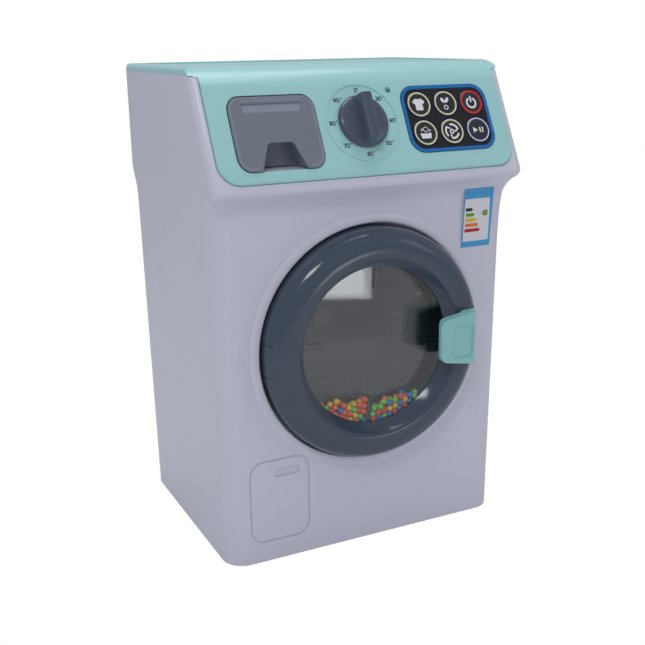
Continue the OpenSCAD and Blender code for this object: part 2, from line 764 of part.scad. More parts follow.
module control_board() at_front() color([0.1, 0.42, 0.25]) on_fascia() difference() {
    union() {
        translate([0, 0, board_n]) linear_extrude(board_t) round_rect(board_x0, board_x1, board_s0, board_s1, 1);
        translate([key_x - 12, key_s - 7, board_n - 3]) cube([9, 7, 3 + eps]);
        translate([key_x + 4, key_s - 12, board_n - 6]) cylinder(r = 3, h = 6 + eps, $fn = 32);
    }
    for (x = board_hole_x, s = board_hole_s) translate([x, s, board_n - 1]) cylinder(r = 1.6, h = board_t + 2, $fn = 32);
    translate([dial_x, dial_s, board_n - 1]) cylinder(r = 2, h = board_t + 2, $fn = 32);
}

// A pan-head screw along +Z, head up, its seat at z = 0
module screw(r, length, head_r, head_t) {
    translate([0, 0, -length]) cylinder(r = r, h = length + eps, $fn = 24);
    difference() {
        cylinder(r = head_r, h = head_t, $fn = 32);
        for (a = [0, 90]) rotate(a) translate([-head_r * 0.6, -0.35, head_t - 0.6]) cube([head_r * 1.2, 0.7, 1]);
    }
}

module board_screws() at_front() color(steel) on_fascia() for (x = board_hole_x, s = board_hole_s)
    translate([x, s, board_n]) rotate([180, 0, 0]) screw(screw_r - 0.42, 4, 2.4, 1.4);

module status_lamp() at_front() color([0.85, 0.9, 0.95]) on_fascia() translate([led_x, led_s, 0]) {
    lens = led_d / 2;
    translate([0, 0, board_n + board_t]) cylinder(r = lens - 0.1, h = 1 - board_n - board_t - lens, $fn = 32);
    translate([0, 0, 1 - lens]) sphere(r = lens - 0.1, $fn = 32);
}

// Dial
grip_w = 8.5;
grip_r = dial_d / 2 - 1.6;
module dial_knob() at_front() color(slate) on_fascia() translate([dial_x, dial_s, 0]) difference() {
    union() {
        rotate_extrude($fn = 96) polygon([[0, fit], [dial_d / 2 - 0.6, fit], [dial_d / 2, fit + 0.8],
            [dial_d / 2 - 0.3, 2], [dial_d / 2 - 1.6, 3.1], [dial_d / 2 - 4, 3.6], [0, 3.8]]);
        intersection() {
            translate([0, 0, fit]) cylinder(r1 = grip_r + 0.8, r2 = grip_r - 0.6, h = dial_h - fit, $fn = 96);
            rotate([90, 0, 0]) translate([0, 0, -dial_d]) linear_extrude(2 * dial_d) grip_section();
        }
    }
    translate([0, 0, -1]) cylinder(r = dial_shaft_d / 2 + press, h = 1 + dial_h - 3);
    translate([-0.6, dial_d / 2 - 7, dial_h - 0.5]) cube([1.2, 5.4, 2]);
}

// Grip across the dial, as [across, height]
module grip_section() {
    polygon([[-grip_w / 2 - 1.6, fit + 1], [grip_w / 2 + 1.6, fit + 1], [grip_w / 2, 4], [grip_w / 2 - 0.8, dial_h - 0.9],
        [grip_w / 2 - 1.7, dial_h], [-grip_w / 2 + 1.7, dial_h], [-grip_w / 2 + 0.8, dial_h - 0.9], [-grip_w / 2, 4]]);
}

wheel_n0 = -5.4;
wheel_t = 1.4;
wheel_r = 7;
cup_r = 11;
cup_wall = 1.4;
module dial_shaft() at_front() color(white) on_fascia() translate([dial_x, dial_s, 0]) {
    translate([0, 0, wheel_n0]) cylinder(r = dial_shaft_d / 2, h = dial_h - 3.2 - wheel_n0);
    translate([0, 0, board_n + board_t]) cylinder(r = 1.5, h = wheel_n0 - board_n - board_t + eps, $fn = 32);
    translate([0, 0, wheel_n0]) linear_extrude(wheel_t) difference() {
        circle(wheel_r);
        for (i = [0:dial_clicks - 1]) rotate(i * 360 / dial_clicks) translate([wheel_r + 1.1, 0]) circle(2, $fn = 32);
    }
}

module dial_switch() at_front() color([0.2, 0.2, 0.22]) on_fascia() translate([dial_x, dial_s, board_n + board_t]) difference() {
    cylinder(r = cup_r, h = 4.2);
    translate([0, 0, 1.2]) cylinder(r = cup_r - cup_wall, h = 5);
    translate([0, 0, -1]) cylinder(r = 1.5 + 0.06, h = 3, $fn = 32);
}

leaf_y = wheel_r + 1.1;
leaf_t = 0.4;
detent_gap = 0.25;
leaf_half = sqrt(pow(cup_r - cup_wall - 0.03, 2) - pow(leaf_y + leaf_t, 2));
module detent_spring() at_front() color(steel) on_fascia() translate([dial_x, dial_s, wheel_n0]) linear_extrude(wheel_t) {
    translate([-leaf_half, leaf_y]) square([2 * leaf_half, leaf_t]);
    intersection() {
        translate([0, leaf_y]) circle(leaf_y - wheel_r - detent_gap, $fn = 32);
        translate([-2, leaf_y - 2]) square([4, 2 + eps]);
    }
}

// Drawer
module drawer_outline(grow = 0) {
    round_rect(drawer_x - drawer_w / 2 - grow, drawer_x + drawer_w / 2 + grow, drawer_z0 - grow, drawer_z1 + grow,
        drawer_r + grow);
}

grip_top_w = 14.3;
grip_low_w = 25.8;
grip_x = drawer_x + 0.7;
grip_h = 13.4;
grip_round = 2.6;
module grip_cut(grow) {
    slope = (grip_low_w - grip_top_w) / 2 / grip_h;
    turn = atan(slope);
    r = grip_round + grow;
    top = drawer_z0 + grip_h + grow;
    half = grip_top_w / 2 + grow;
    cx = half + slope * r - r / cos(turn);
    polygon([[grip_x - half - slope * (grip_h + 2 * grow), drawer_z0 - grow],
        [grip_x + half + slope * (grip_h + 2 * grow), drawer_z0 - grow],
        [grip_x + cx + r * cos(turn), top - r + r * sin(turn)], [grip_x + cx, top],
        [grip_x - cx, top], [grip_x - cx - r * cos(turn), top - r + r * sin(turn)]]);
    for (s = [-1, 1]) translate([grip_x + s * cx, top - r]) circle(r);
}

label_s0 = 31.5;
label_h = 5.2;
module drawer_front() at_front() color(smoke) difference() {
    intersection() {
        elevation(-40, 60) drawer_outline();
        union() {
            on_fascia() translate([drawer_x, 0, drawer_plate_proud - drawer_plate_t])
                translate([-drawer_w, -drawer_len, 0]) cube([2 * drawer_w, 3 * drawer_len, drawer_plate_t]);
            difference() {
                union() {
                    elevation(-40, tray_y0) grip_cut(1.6);
                    box(drawer_x - tray_w / 2, drawer_x + tray_w / 2, tray_y0 - tray_wall, tray_y0, tray_z0, tray_z0 + tray_h);
                    for (s = [-1, 1]) box(drawer_x + s * (tray_w / 2 - 1) - 1, drawer_x + s * (tray_w / 2 - 1) + 1,
                        -10, tray_y0, tray_z0, tray_z0 + tray_h);
                }
                on_fascia() translate([drawer_x - drawer_w, -drawer_len, drawer_plate_proud])
                    cube([2 * drawer_w, 4 * drawer_len, tray_len]);
            }
        }
    }
    elevation(-40, tray_y0 - 1.6) grip_cut(0);
    on_fascia() translate([0, 0, drawer_plate_proud - 0.5]) linear_extrude(4)
        round_rect(drawer_x - 17, drawer_x + 16.8, drawer_s0 + label_s0, drawer_s0 + label_s0 + label_h, 0.8);
}

module drawer_tray() at_front() color([0.9, 0.91, 0.93]) difference() {
    box(drawer_x - tray_w / 2, drawer_x + tray_w / 2, tray_y0, tray_y1, tray_z0, tray_z0 + tray_h);
    third = (tray_w - 2 * tray_wall) / 2;
    for (i = [0, 1]) translate([drawer_x - tray_w / 2 + tray_wall + i * (third + tray_wall / 2), tray_y0 + tray_wall, tray_z0 + tray_wall])
        cube([third - tray_wall / 2, tray_len - 2 * tray_wall, tray_h]);
}

module drawer_housing() at_front() color(white) difference() {
    y1 = tray_y1 + 2;
    union() {
        difference() {
            elevation(-40, y1 + housing_wall) drawer_outline(drawer_gap + housing_wall);
            elevation(-50, y1) drawer_outline(drawer_gap);
        }
        intersection() {
            elevation(-40, y1) drawer_outline(drawer_gap + eps);
            for (s = [-1, 1]) box(drawer_x + s * tray_w * 0.35 - 2, drawer_x + s * tray_w * 0.35 + 2, tray_y0, y1,
                drawer_z0 - 3, tray_z0 - rail_gap);
        }
    }
    on_fascia() translate([drawer_x - drawer_w, -2 * drawer_len, -wall]) cube([2 * drawer_w, 6 * drawer_len, 2 * tray_len]);
}

// Energy label on the front, following the sweep of the panel
label_x0 = 60.6;
label_x1 = 80.8;
label_len = 35.1;
label_z0 = sweep_z - 1.3;
label_z1 = label_z0 + label_len;
label_t = 0.25;
module energy_label() at_front() color([0.85, 0.92, 0.95]) {
    levels = concat([label_z0], [for (p = front_profile) if (p[1] > label_z0 && p[1] < label_z1) p[1]], [label_z1]);
    n = len(levels);
    side_view(label_x0, label_x1) polygon(concat([for (z = levels) [panel_y(z), z]],
        [for (i = [n - 1:-1:0]) [panel_y(levels[i]) - label_t, levels[i]]]));
}

// Door ring: a domed moulding, hollow behind, with the window well in front
shoulder_y = -4.2;
crest_r = crest_d / 2;
function dome(grow) = [for (i = [0:12]) let (a = 90 * i / 12)
    [crest_r + (door_r - crest_r - grow) * cos(a), shoulder_y - (door_proud + shoulder_y - grow) * sin(a)]];
well_front = -door_proud + 1.6;
module ring_solid() {
    turned_y() {
        polygon(concat([[door_r, door_rear]], dome(0),
            [[well_d / 2 + 2.2, -door_proud + 0.25], [well_d / 2 + 0.6, well_front - 0.6], [well_d / 2, well_front + 0.4],
            [view_d / 2 + 0.6, window_y - 0.8], [view_d / 2, window_y - 0.2], [view_d / 2, window_y],
            [window_d / 2 + fit, window_y], [window_d / 2 + fit, door_rear]]));
    }
}

module ring_hollow() {
    r0 = window_d / 2 + fit + door_wall;
    turned_y() polygon(concat([[door_r - door_wall, door_rear + through]], dome(door_wall),
        [[max(r0, well_d / 2 + 2.6), -door_proud + door_wall + 0.4], [r0, -door_proud + door_wall + 2], [r0, door_rear + through]]));
}

door_boss_r = 2.9;
door_screw_pcr = (window_d / 2 + door_r) / 2 + 0.4;
door_screw_angles = [30, 90, 150, 210, 270, 330];
function on_ring(a) = [door_screw_pcr * cos(a), axis_z + door_screw_pcr * sin(a)];

pocket_x0 = well_d / 2 + 1;
pocket_x1 = handle_pivot_x + handle_boss_r + 0.5;
pocket_h = handle_h + 2 * handle_gap;
ring_slot_x0 = hook_x0 - 5;
ring_slot_x1 = hook_x0 + hook_t + 2.2;
lug_clear = 0.5;
hood_r = 5.1;
notch_h = knuckle_h + 2 * hinge_gap;
door_pin_len = 34;
module ring_fittings() intersection() {
    turned_y() polygon(concat([[door_r - 0.2, door_rear]], dome(0.2), [[window_d / 2 + fit + 0.2, -door_proud + 1], [window_d / 2 + fit + 0.2, door_rear]]));
    union() {
        for (a = door_screw_angles) bar_y(door_boss_r, -door_proud, door_rear, on_ring(a)[0], on_ring(a)[1]);
        box(pocket_x0 - pocket_wall, pocket_x1 + pocket_wall, -door_proud, pocket_floor_y + pocket_wall,
            axis_z - pocket_h / 2 - hinge_boss_h, axis_z + pocket_h / 2 + hinge_boss_h);
        box(-door_r, hinge_x + knuckle_d / 2 + lug_clear + pocket_wall + 1, -door_proud, door_rear,
            axis_z - notch_h / 2 - hinge_boss_h - 2, axis_z + notch_h / 2 + hinge_boss_h + 2);
    }
}

module door_ring() at_front() color(slate) difference() {
    union() {
        difference() {
            ring_solid();
            ring_hollow();
        }
        ring_fittings();
    }
    box(pocket_x0, pocket_x1, -30, pocket_floor_y, axis_z - pocket_h / 2, axis_z + pocket_h / 2);
    box(ring_slot_x0, ring_slot_x1, -10, 0, axis_z - hook_slot_h / 2, axis_z + hook_slot_h / 2);
    hinge_notch(door_rear);
    for (a = door_screw_angles) bar_y(screw_r - 0.4, -9, door_rear + through, on_ring(a)[0], on_ring(a)[1]);
    translate([hinge_x, hinge_y, axis_z - door_pin_len / 2 - press]) cylinder(r = pin_d / 2 + press, h = door_pin_len + 2 * press);
    translate([handle_pivot_x, handle_pivot_y, axis_z - handle_pin_len / 2 - press])
        cylinder(r = pin_d / 2 + press, h = handle_pin_len + 2 * press);
}

// Room for the lug of the hinge bracket over the whole swing of the door
module hinge_notch(rear) {
    z0 = axis_z - notch_h / 2;
    r = knuckle_d / 2 + lug_clear;
    translate([hinge_x, hinge_y, z0]) cylinder(r = hood_r + lug_clear, h = notch_h);
    box(-door_r - 5, hinge_x, hinge_y - r, rear + 10, z0, z0 + notch_h);
    box(hinge_x - 1, hinge_x + r, hinge_y, rear + 10, z0, z0 + notch_h);
}

module door_window() at_front() color(clear) bar_y(window_d / 2, window_y, window_y1, z = axis_z);

// Clear pan that holds the beads, with four ribs that stir them
rib_r0 = chamber_r - rib_len;
module bead_pan() at_front() color(clear) {
    turned_y() polygon([[0, pan_floor_y], [chamber_r, pan_floor_y], [chamber_r, window_y1], [window_d / 2, window_y1],
        [window_d / 2, pan_floor_y + glass_t], [0, pan_floor_y + glass_t]]);
    for (i = [0:3]) translate([0, 0, axis_z]) rotate([0, rib_turn + 90 * i, 0])
        box(-rib_t / 2, rib_t / 2, window_y1 + 0.4, pan_floor_y + eps, rib_r0, chamber_r + 0.2);
}

// Beads: two staggered layers in the lower part of the chamber, either side of the lowest rib
bead_pitch = bead_d + 0.62;
bead_gap = 0.05;
bead_room = chamber_r - bead_d / 2 - bead_gap;
rib_room = rib_t / 2 + bead_d / 2 + bead_gap;
function bead_ok(x, z) = z < -heap_drop && norm([x, z]) < bead_room
    && (abs(x * cos(rib_turn) - z * sin(rib_turn)) > rib_room || norm([x, z]) < rib_r0 - bead_d / 2 - 0.1);
function bead_spots(shift, y) = [for (row = [-16:-4], col = [-14:14])
    let (x = (col + (row % 2 == 0 ? 0 : 0.5) + shift[0]) * bead_pitch, z = (row + shift[1]) * bead_pitch * sqrt(3) / 2)
    if (bead_ok(x, z)) [x, y, z]];
bead_layers = concat(bead_spots([0.25, 0], window_y1 + bead_d / 2 + bead_gap),
    bead_spots([0.75, 1 / 3], pan_floor_y - bead_d / 2 - bead_gap));
module beads() at_front() color([0.92, 0.36, 0.2])
    for (p = bead_layers) translate(p + [0, 0, axis_z]) sphere(r = bead_d / 2, $fn = 20);

module door_back_ring() at_front() color([0.2, 0.23, 0.27]) difference() {
    r0 = view_d / 2 + 0.5;
    turned_y() polygon([[r0, door_rear], [door_r - 1, door_rear], [door_r - 1, back_ring_y1 - 0.6], [door_r - 1.6, back_ring_y1],
        [r0 + 0.6, back_ring_y1], [r0, back_ring_y1 - 0.6]]);
    box(ring_slot_x0, ring_slot_x1, -10, 10, axis_z - hook_slot_h / 2, axis_z + hook_slot_h / 2);
    hinge_notch(door_rear);
    for (a = door_screw_angles) {
        bar_y(screw_r + 0.2, 0, 10, on_ring(a)[0], on_ring(a)[1]);
        bar_y(2.5, back_ring_y1 - 1.1, 10, on_ring(a)[0], on_ring(a)[1]);
    }
}

module door_screws() at_front() color(steel) for (a = door_screw_angles)
    translate([on_ring(a)[0], back_ring_y1 - 1.1, on_ring(a)[1]]) rotate([-90, 0, 0]) screw(screw_r - 0.42, 9, 2.3, 1);

// Hinge bracket: a knuckle on a lug that reaches through the recess to a plate behind it
bracket_screw_x = hinge_x + 7;
bracket_screw_z = 13;
bracket_t = 2;
module hinge_bracket() at_front() color([0.16, 0.18, 0.21]) difference() {
    union() {
        translate([hinge_x, hinge_y, axis_z - knuckle_h / 2]) cylinder(r = knuckle_d / 2, h = knuckle_h);
        intersection() {
            translate([hinge_x, hinge_y, axis_z - knuckle_h / 2]) cylinder(r = hood_r, h = knuckle_h);
            turned_y() polygon(concat([[0, 0], [door_r - 0.1, 0]], dome(0.1), [[0, -door_proud]]));
            box(-door_r, hinge_x, -door_proud, 0, axis_z - knuckle_h, axis_z + knuckle_h);
        }
        box(hinge_x - lug_w / 2, hinge_x + lug_w / 2, hinge_y, recess_y1 + eps, axis_z - knuckle_h / 2, axis_z + knuckle_h / 2);
        box(hinge_x - lug_w / 2, hinge_x + lug_w / 2 + 6.4, recess_y1, recess_y1 + bracket_t,
            axis_z - bracket_screw_z - 4, axis_z + bracket_screw_z + 4);
    }
    translate([hinge_x, hinge_y, axis_z - knuckle_h]) cylinder(r = pin_d / 2 + 0.06, h = 2 * knuckle_h);
    for (s = [-1, 1]) bar_y(screw_r, 0, 20, bracket_screw_x, axis_z + s * bracket_screw_z);
}

module bracket_screws() at_front() color(steel) for (s = [-1, 1])
    translate([bracket_screw_x, recess_y1 + bracket_t, axis_z + s * bracket_screw_z]) rotate([-90, 0, 0])
        screw(screw_r - 0.02, bracket_t + wall - 1.2, 2.6, 1.2);

module hinge_pin() at_front() color(steel)
    translate([hinge_x, hinge_y, axis_z - door_pin_len / 2]) cylinder(r = pin_d / 2, h = door_pin_len);

// Handle: a lever on an upright pin, with the hook that holds the door shut
handle_pin_len = 38;
handle_back = handle_front - handle_t;
spring_z0 = 6;
spring_len = 6;
spring_r = 1.75;
spring_wire = 0.6;
module handle_section() {
    x0 = handle_x0;
    x1 = handle_x1;
    web_x0 = pocket_x0 + 0.8;
    polygon([[x0, -handle_front + 1.6], [x0 + 0.9, -handle_front + 0.5], [x0 + 3, -handle_front], [x1 - 2, -handle_front],
        [x1 - 0.4, -handle_front + 0.7], [x1 + 0.6, -handle_front + 2.2], [handle_pivot_x + 1.8, -12.5],
        [handle_pivot_x + 2.6, handle_pivot_y - 1.4], [handle_pivot_x, handle_pivot_y], [web_x0 + 4, handle_pivot_y + 1.6],
        [web_x0, handle_pivot_y - 1], [web_x0, -handle_back + 1.8], [web_x0 - 1.6, -handle_back], [x0 + 3, -handle_back],
        [x0 + 0.6, -handle_back - 1]]);
    translate([handle_pivot_x, handle_pivot_y]) circle(handle_boss_r);
}

module handle_face() {
    r = 5;
    dz = (handle_h - handle_tip_h) / 2;
    hull() {
        for (s = [-1, 1]) {
            translate([handle_x0 + r, s * (handle_tip_h / 2 - r)]) circle(r, $fn = 32);
            translate([handle_pivot_x + 3, s * (handle_h / 2 - 1)]) circle(1, $fn = 32);
            translate([handle_x1 - 4, s * (handle_h / 2 - 1)]) circle(1, $fn = 32);
        }
    }
}

module door_handle() at_front() color([0.56, 0.78, 0.78]) difference() {
    union() {
        intersection() {
            translate([0, 0, axis_z - handle_h / 2]) linear_extrude(handle_h) handle_section();
            elevation(-30, 0) translate([0, axis_z]) handle_face();
        }
        translate([0, 0, axis_z - hook_w / 2]) linear_extrude(hook_w) polygon([[hook_x0, handle_pivot_y],
            [hook_x0 + hook_t, handle_pivot_y], [hook_x0 + hook_t, recess_y1 + 0.3], [strike_x + latch_bite, recess_y1 + 0.3],
            [strike_x + latch_bite, recess_y1 + 0.8], [hook_x0 + hook_t, hook_tip_y], [hook_x0, hook_tip_y]]);
    }
    elevation(-handle_front - 1, -handle_front + 0.7) translate([0, axis_z])
        round_rect(handle_x0 + 8, handle_x1 - 2.4, -11, 8, 2);
    translate([handle_pivot_x, handle_pivot_y, 0]) {
        cylinder(r = pin_d / 2 + 0.06, h = 200);
        translate([0, 0, axis_z + spring_z0]) cylinder(r = spring_r + spring_wire / 2 + fit, h = spring_len + 0.8);
    }
}

module handle_pin() at_front() color(steel) translate([handle_pivot_x, handle_pivot_y, axis_z - handle_pin_len / 2])
    cylinder(r = pin_d / 2, h = handle_pin_len);

module handle_spring() at_front() color(steel) translate([handle_pivot_x, handle_pivot_y, axis_z + spring_z0 + 0.6])
    coil(spring_r, spring_wire, spring_len - 0.6, 6);

// Drum: a perforated tub with three rounded lifters
drum_r = drum_d / 2;
drum_floor_y = drum_y1 - drum_wall;
lifter_count = 3;
lifter_start = 150;
lifter_centre = drum_r - drum_wall + lifter_r * 0.25;
module drum() at_front() color([0.3, 0.32, 0.36]) difference() {
    union() {
        turned_y() polygon([[drum_r - drum_wall, drum_y0], [drum_r, drum_y0], [drum_r, drum_y1 - 2], [drum_r - 2, drum_y1],
            [drum_hub_d / 2, drum_y1], [drum_hub_d / 2, drum_y1 + drum_hub_len], [0, drum_y1 + drum_hub_len], [0, hub_y0],
            [drum_hub_d / 2 - 2, hub_y0], [drum_hub_d / 2, hub_y0 + 2], [drum_hub_d / 2, drum_floor_y],
            [drum_r - drum_wall - 1.4, drum_floor_y], [drum_r - drum_wall, drum_floor_y - 1.4]]);
        intersection() {
            bar_y(drum_r - drum_wall + 0.4, recess_y1 + mouth_tube_len + 2, drum_floor_y + 0.4, z = axis_z);
            for (i = [0:lifter_count - 1]) rotate_about_axis(lifter_start + i * 360 / lifter_count)
                bar_y(lifter_r, drum_y0, drum_floor_y + 0.4, lifter_centre, 0);
        }
    }
    for (i = [0:lifter_count - 1]) rotate_about_axis(lifter_start + i * 360 / lifter_count)
        bar_y(lifter_r - drum_wall, drum_y0 - 1, drum_floor_y - drum_wall, lifter_centre, 0);
    for (i = [0:lifter_count - 1], c = [0:hole_cols - 1], row = [0:hole_rows - 1])
        rotate_about_axis(lifter_start + (i + 0.5) * 360 / lifter_count + (c - (hole_cols - 1) / 2) * 14)
            translate([drum_r - 5, drum_y0 + drum_len * (row + 1) / (hole_rows + 1), 0]) rotate([0, 90, 0])
                cylinder(r = hole_d / 2, h = 10, $fn = 24);
    bar_y(shaft_d / 2 + press, hub_y0 + 2, drum_y1 + drum_hub_len + 1, z = axis_z);
}

// Dark liner of the mouth, its flange seated on the floor of the recess
liner_t = 1.2;
liner_flange = 2;
liner_flange_t = 0.5;
module mouth_liner() at_front() color([0.14, 0.16, 0.19]) turned_y() {
    r = mouth_d / 2 - press;
    polygon([[r - liner_t, recess_depth - liner_flange_t], [r + liner_flange, recess_depth - liner_flange_t],
        [r + liner_flange, recess_depth], [r, recess_depth], [r, recess_y1 + mouth_tube_len + 0.4],
        [r - liner_t, recess_y1 + mouth_tube_len + 0.4]]);
}

module rotate_about_axis(a) {
    translate([0, 0, axis_z]) rotate([0, -a, 0]) children();
}

module drum_shaft() at_front() color(steel) bar_y(shaft_d / 2, hub_y0 + 2 + press, lid_y1, z = axis_z);

module drum_gear() at_front() color([0.92, 0.92, 0.88]) translate([0, 0, axis_z]) difference() {
    union() {
        elevation(gear_y0, gear_y1) rotate(train_angle) gear_outline(drum_module, drum_teeth);
        bar_y(shaft_d / 2 + 2.4, gear_y0, lid_y0 - 0.3);
    }
    bar_y(shaft_d / 2 + press, gear_y0 - 1, lid_y0 + 1);
    for (i = [0:5]) rotate([0, 60 * i, 0]) bar_y(3, gear_y0 - 1, gear_y1 + 1, (drum_pitch_r + shaft_d / 2 + 2.4) / 2 + 0.4, 0);
}

bush_r = shaft_d / 2 + 2;
module shaft_bush() at_front() color([0.72, 0.55, 0.3]) difference() {
    bar_y(bush_r, case_y0, case_y0 + case_t + gear_gap - 0.2, z = axis_z);
    bar_y(shaft_d / 2 + 0.05, case_y0 - 1, case_y0 + 10, z = axis_z);
}

// Gearbox: a cup and a lid on three posts of the back cover
module train_outline(grow) {
    circle(drum_pitch_r + drum_module + grow);
    translate(idler_pos) circle(idler_large_r + motor_module + grow);
    translate(motor_pos) circle(pinion_r + motor_module + grow);
}

module ear_outline() {
    for (p = gearbox_ears) translate(p) circle(post_d / 2);
    for (p = gearbox_ears) hull() {
        translate(p) circle(post_d / 2, $fn = 32);
        translate(p * 0.55) circle(post_d / 2, $fn = 32);
    }
}

idler_pin_r = 1.5;
module gearbox_case() at_front() color([0.85, 0.85, 0.82]) translate([0, 0, axis_z]) difference() {
    union() {
        elevation(case_y0, case_y0 + case_t) train_outline(gearbox_gap + case_t);
        difference() {
            elevation(case_y0, lid_y0) train_outline(gearbox_gap + case_t);
            elevation(case_y0 - 1, lid_y0 + 1) train_outline(gearbox_gap);
        }
        difference() {
            elevation(case_y0, lid_y0) ear_outline();
            elevation(case_y0 - 1, lid_y0 + 1) train_outline(gearbox_gap);
        }
    }
    bar_y(bush_r + press, case_y0 - 1, case_y0 + case_t + 1);
    bar_y(idler_pin_r + press, case_y0 - 1, case_y0 + case_t + 1, idler_pos[0], idler_pos[1]);
    for (p = gearbox_ears) bar_y(screw_r + 0.2, case_y0 - 1, lid_y0 + 1, p[0], p[1]);
}

module gearbox_lid() at_front() color([0.85, 0.85, 0.82]) translate([0, 0, axis_z]) difference() {
    elevation(lid_y0, lid_y1) union() {
        train_outline(gearbox_gap + case_t);
        ear_outline();
        translate(motor_pos) circle(motor_d / 2 + 1);
    }
    bar_y(shaft_d / 2 + 0.06, lid_y0 - 1, lid_y1 + 1);
    bar_y(idler_pin_r + press, lid_y0 - 1, lid_y1 + 1, idler_pos[0], idler_pos[1]);
    bar_y(motor_nose_r + 0.1, lid_y0 - 1, lid_y1 + 1, motor_pos[0], motor_pos[1]);
    for (p = gearbox_ears) bar_y(screw_r + 0.2, lid_y0 - 1, lid_y1 + 1, p[0], p[1]);
}

module idler_gear() at_front() color([0.92, 0.92, 0.88]) translate([idler_pos[0], 0, axis_z + idler_pos[1]]) difference() {
    union() {
        elevation(gear_y0, gear_y1 + gear_gap + eps) rotate(train_angle + 180 + 180 / idler_small_teeth)
            gear_outline(drum_module, idler_small_teeth);
        elevation(gear_y1 + gear_gap, idler_y1) rotate(train_angle) gear_outline(motor_module, idler_large_teeth);
    }
    bar_y(idler_pin_r + 0.05, gear_y0 - 1, idler_y1 + 1);
}

module idler_axle() at_front() color(steel) bar_y(idler_pin_r, case_y0, lid_y1, idler_pos[0], axis_z + idler_pos[1]);

motor_nose_r = 3;
motor_flat = 15.4;
module motor() at_front() color([0.7, 0.71, 0.73]) translate([motor_pos[0], 0, axis_z + motor_pos[1]]) difference() {
    union() {
        intersection() {
            bar_y(motor_d / 2, lid_y1, lid_y1 + motor_len);
            box(-motor_d, motor_d, 0, 200, -motor_flat / 2, motor_flat / 2);
        }
        bar_y(motor_nose_r, lid_y1 - 1.6, lid_y1 + eps);
        bar_y(motor_nose_r, lid_y1 + motor_len - eps, lid_y1 + motor_len + 1.5);
        for (s = [-1, 1]) box(s * 6 - 1, s * 6 + 1, lid_y1 + motor_len - eps, lid_y1 + motor_len + 3, -0.3, 0.3);
    }
    bar_y(motor_shaft_d / 2 + 0.05, 0, lid_y1 + 8);
}

module motor_shaft() at_front() color(steel)
    bar_y(motor_shaft_d / 2, gear_y1 + gear_gap, lid_y1 + 7, motor_pos[0], axis_z + motor_pos[1]);

module motor_pinion() at_front() color([0.86, 0.74, 0.42]) translate([motor_pos[0], 0, axis_z + motor_pos[1]]) difference() {
    elevation(gear_y1 + gear_gap, idler_y1) rotate(train_angle + 180 + 180 / pinion_teeth) gear_outline(motor_module, pinion_teeth);
    bar_y(motor_shaft_d / 2 + press, 0, lid_y1 + 8);
}

module drive_screws() at_front() color(steel) for (p = gearbox_ears)
    translate([p[0], case_y0, axis_z + p[1]]) rotate([90, 0, 0]) screw(screw_r - 0.02, lid_y1 - case_y0 + 6, 2.8, 1.4);

// Back cover: a panel with the gearbox posts, the speaker grille and the way into the battery bay
cover_gap = 0.3;
function cover_half(z) = side_w(z) - wall - cover_gap;
cover_z0 = base_lift + wall + cover_gap;
cover_z1 = split_z - cover_gap;
bay_z0 = bay_z - bay_h / 2;
bay_z1 = bay_z + bay_h / 2;
bay_door_x = bay_w / 2 + bay_lip;
bay_door_z0 = bay_z0 - bay_lip;
bay_door_z1 = bay_z1 + 10;
bay_screw_z = bay_z1 + 5.6;
clamp_ear = speaker_d / 2 + 5.2;
grille_step = 4;
grille_hole_r = 1;
function grille_rings() = floor((speaker_d / 2 - 2) / grille_step);
cover_levels = concat([cover_z0], [for (p = front_profile) if (p[1] > flare_z0 && p[1] < cover_z1) p[1]], [cover_z1]);
module back_cover() at_front() color(white) difference() {
    union() {
        elevation(cover_y0, cover_y1) polygon(concat(
            [for (z = cover_levels) [cover_half(z), z]],
            [for (i = [len(cover_levels) - 1:-1:0]) [-cover_half(cover_levels[i]), cover_levels[i]]]));
        for (p = gearbox_ears) bar_y(post_d / 2, lid_y1, cover_y0 + eps, p[0], axis_z + p[1]);
        for (s = [-1, 1]) bar_y(3, cover_y0 - clamp_post, cover_y0 + eps, speaker_x + s * clamp_ear, speaker_z);
    }
    elevation(cover_y0 - 1, cover_y1 + 1) round_rect(-bay_door_x - cover_gap, bay_door_x + cover_gap,
        bay_door_z0 - cover_gap, bay_door_z1 + cover_gap, 3);
    for (p = gearbox_ears) bar_y(screw_r, lid_y1 - 1, lid_y1 + 8, p[0], axis_z + p[1]);
    for (s = [-1, 1]) bar_y(screw_r - 0.4, cover_y0 - clamp_post - 1, cover_y0, speaker_x + s * clamp_ear, speaker_z);
    for (s = [-1, 1], z = case_screw_z) {
        bar_y(screw_r + 0.3, cover_y0 - 1, cover_y1 + 1, s * case_screw_x(z), z);
        bar_y(3.2, cover_y1 - 1.2, cover_y1 + 1, s * case_screw_x(z), z);
    }
    for (k = [0:grille_rings()], i = [0:max(6 * k, 1) - 1]) let (a = 360 * i / max(6 * k, 1))
        bar_y(grille_hole_r, cover_y0 - 1, cover_y1 + 1, speaker_x + k * grille_step * cos(a), speaker_z + k * grille_step * sin(a));
}

module case_screws() at_front() color(steel) for (s = [-1, 1], z = case_screw_z)
    translate([s * case_screw_x(z), cover_y1 - 1.2, z]) rotate([-90, 0, 0]) screw(screw_r - 0.02, 12, 2.9, 1.1);

cone_r = 12;
cone_depth = 3;
speaker_depth = 6.4;
clamp_t = 1.6;
clamp_post = 6;
module speaker() at_front() color([0.15, 0.15, 0.16]) difference() {
    union() {
        bar_y(speaker_d / 2, cover_y0 - 2.4, cover_y0 - 0.02, speaker_x, speaker_z);
        bar_y(speaker_d / 2 - 4, cover_y0 - speaker_depth, cover_y0 - 2.4 + eps, speaker_x, speaker_z);
    }
    translate([speaker_x, cover_y0 + cone_r - cone_depth, speaker_z]) sphere(r = cone_r, $fn = 64);
}

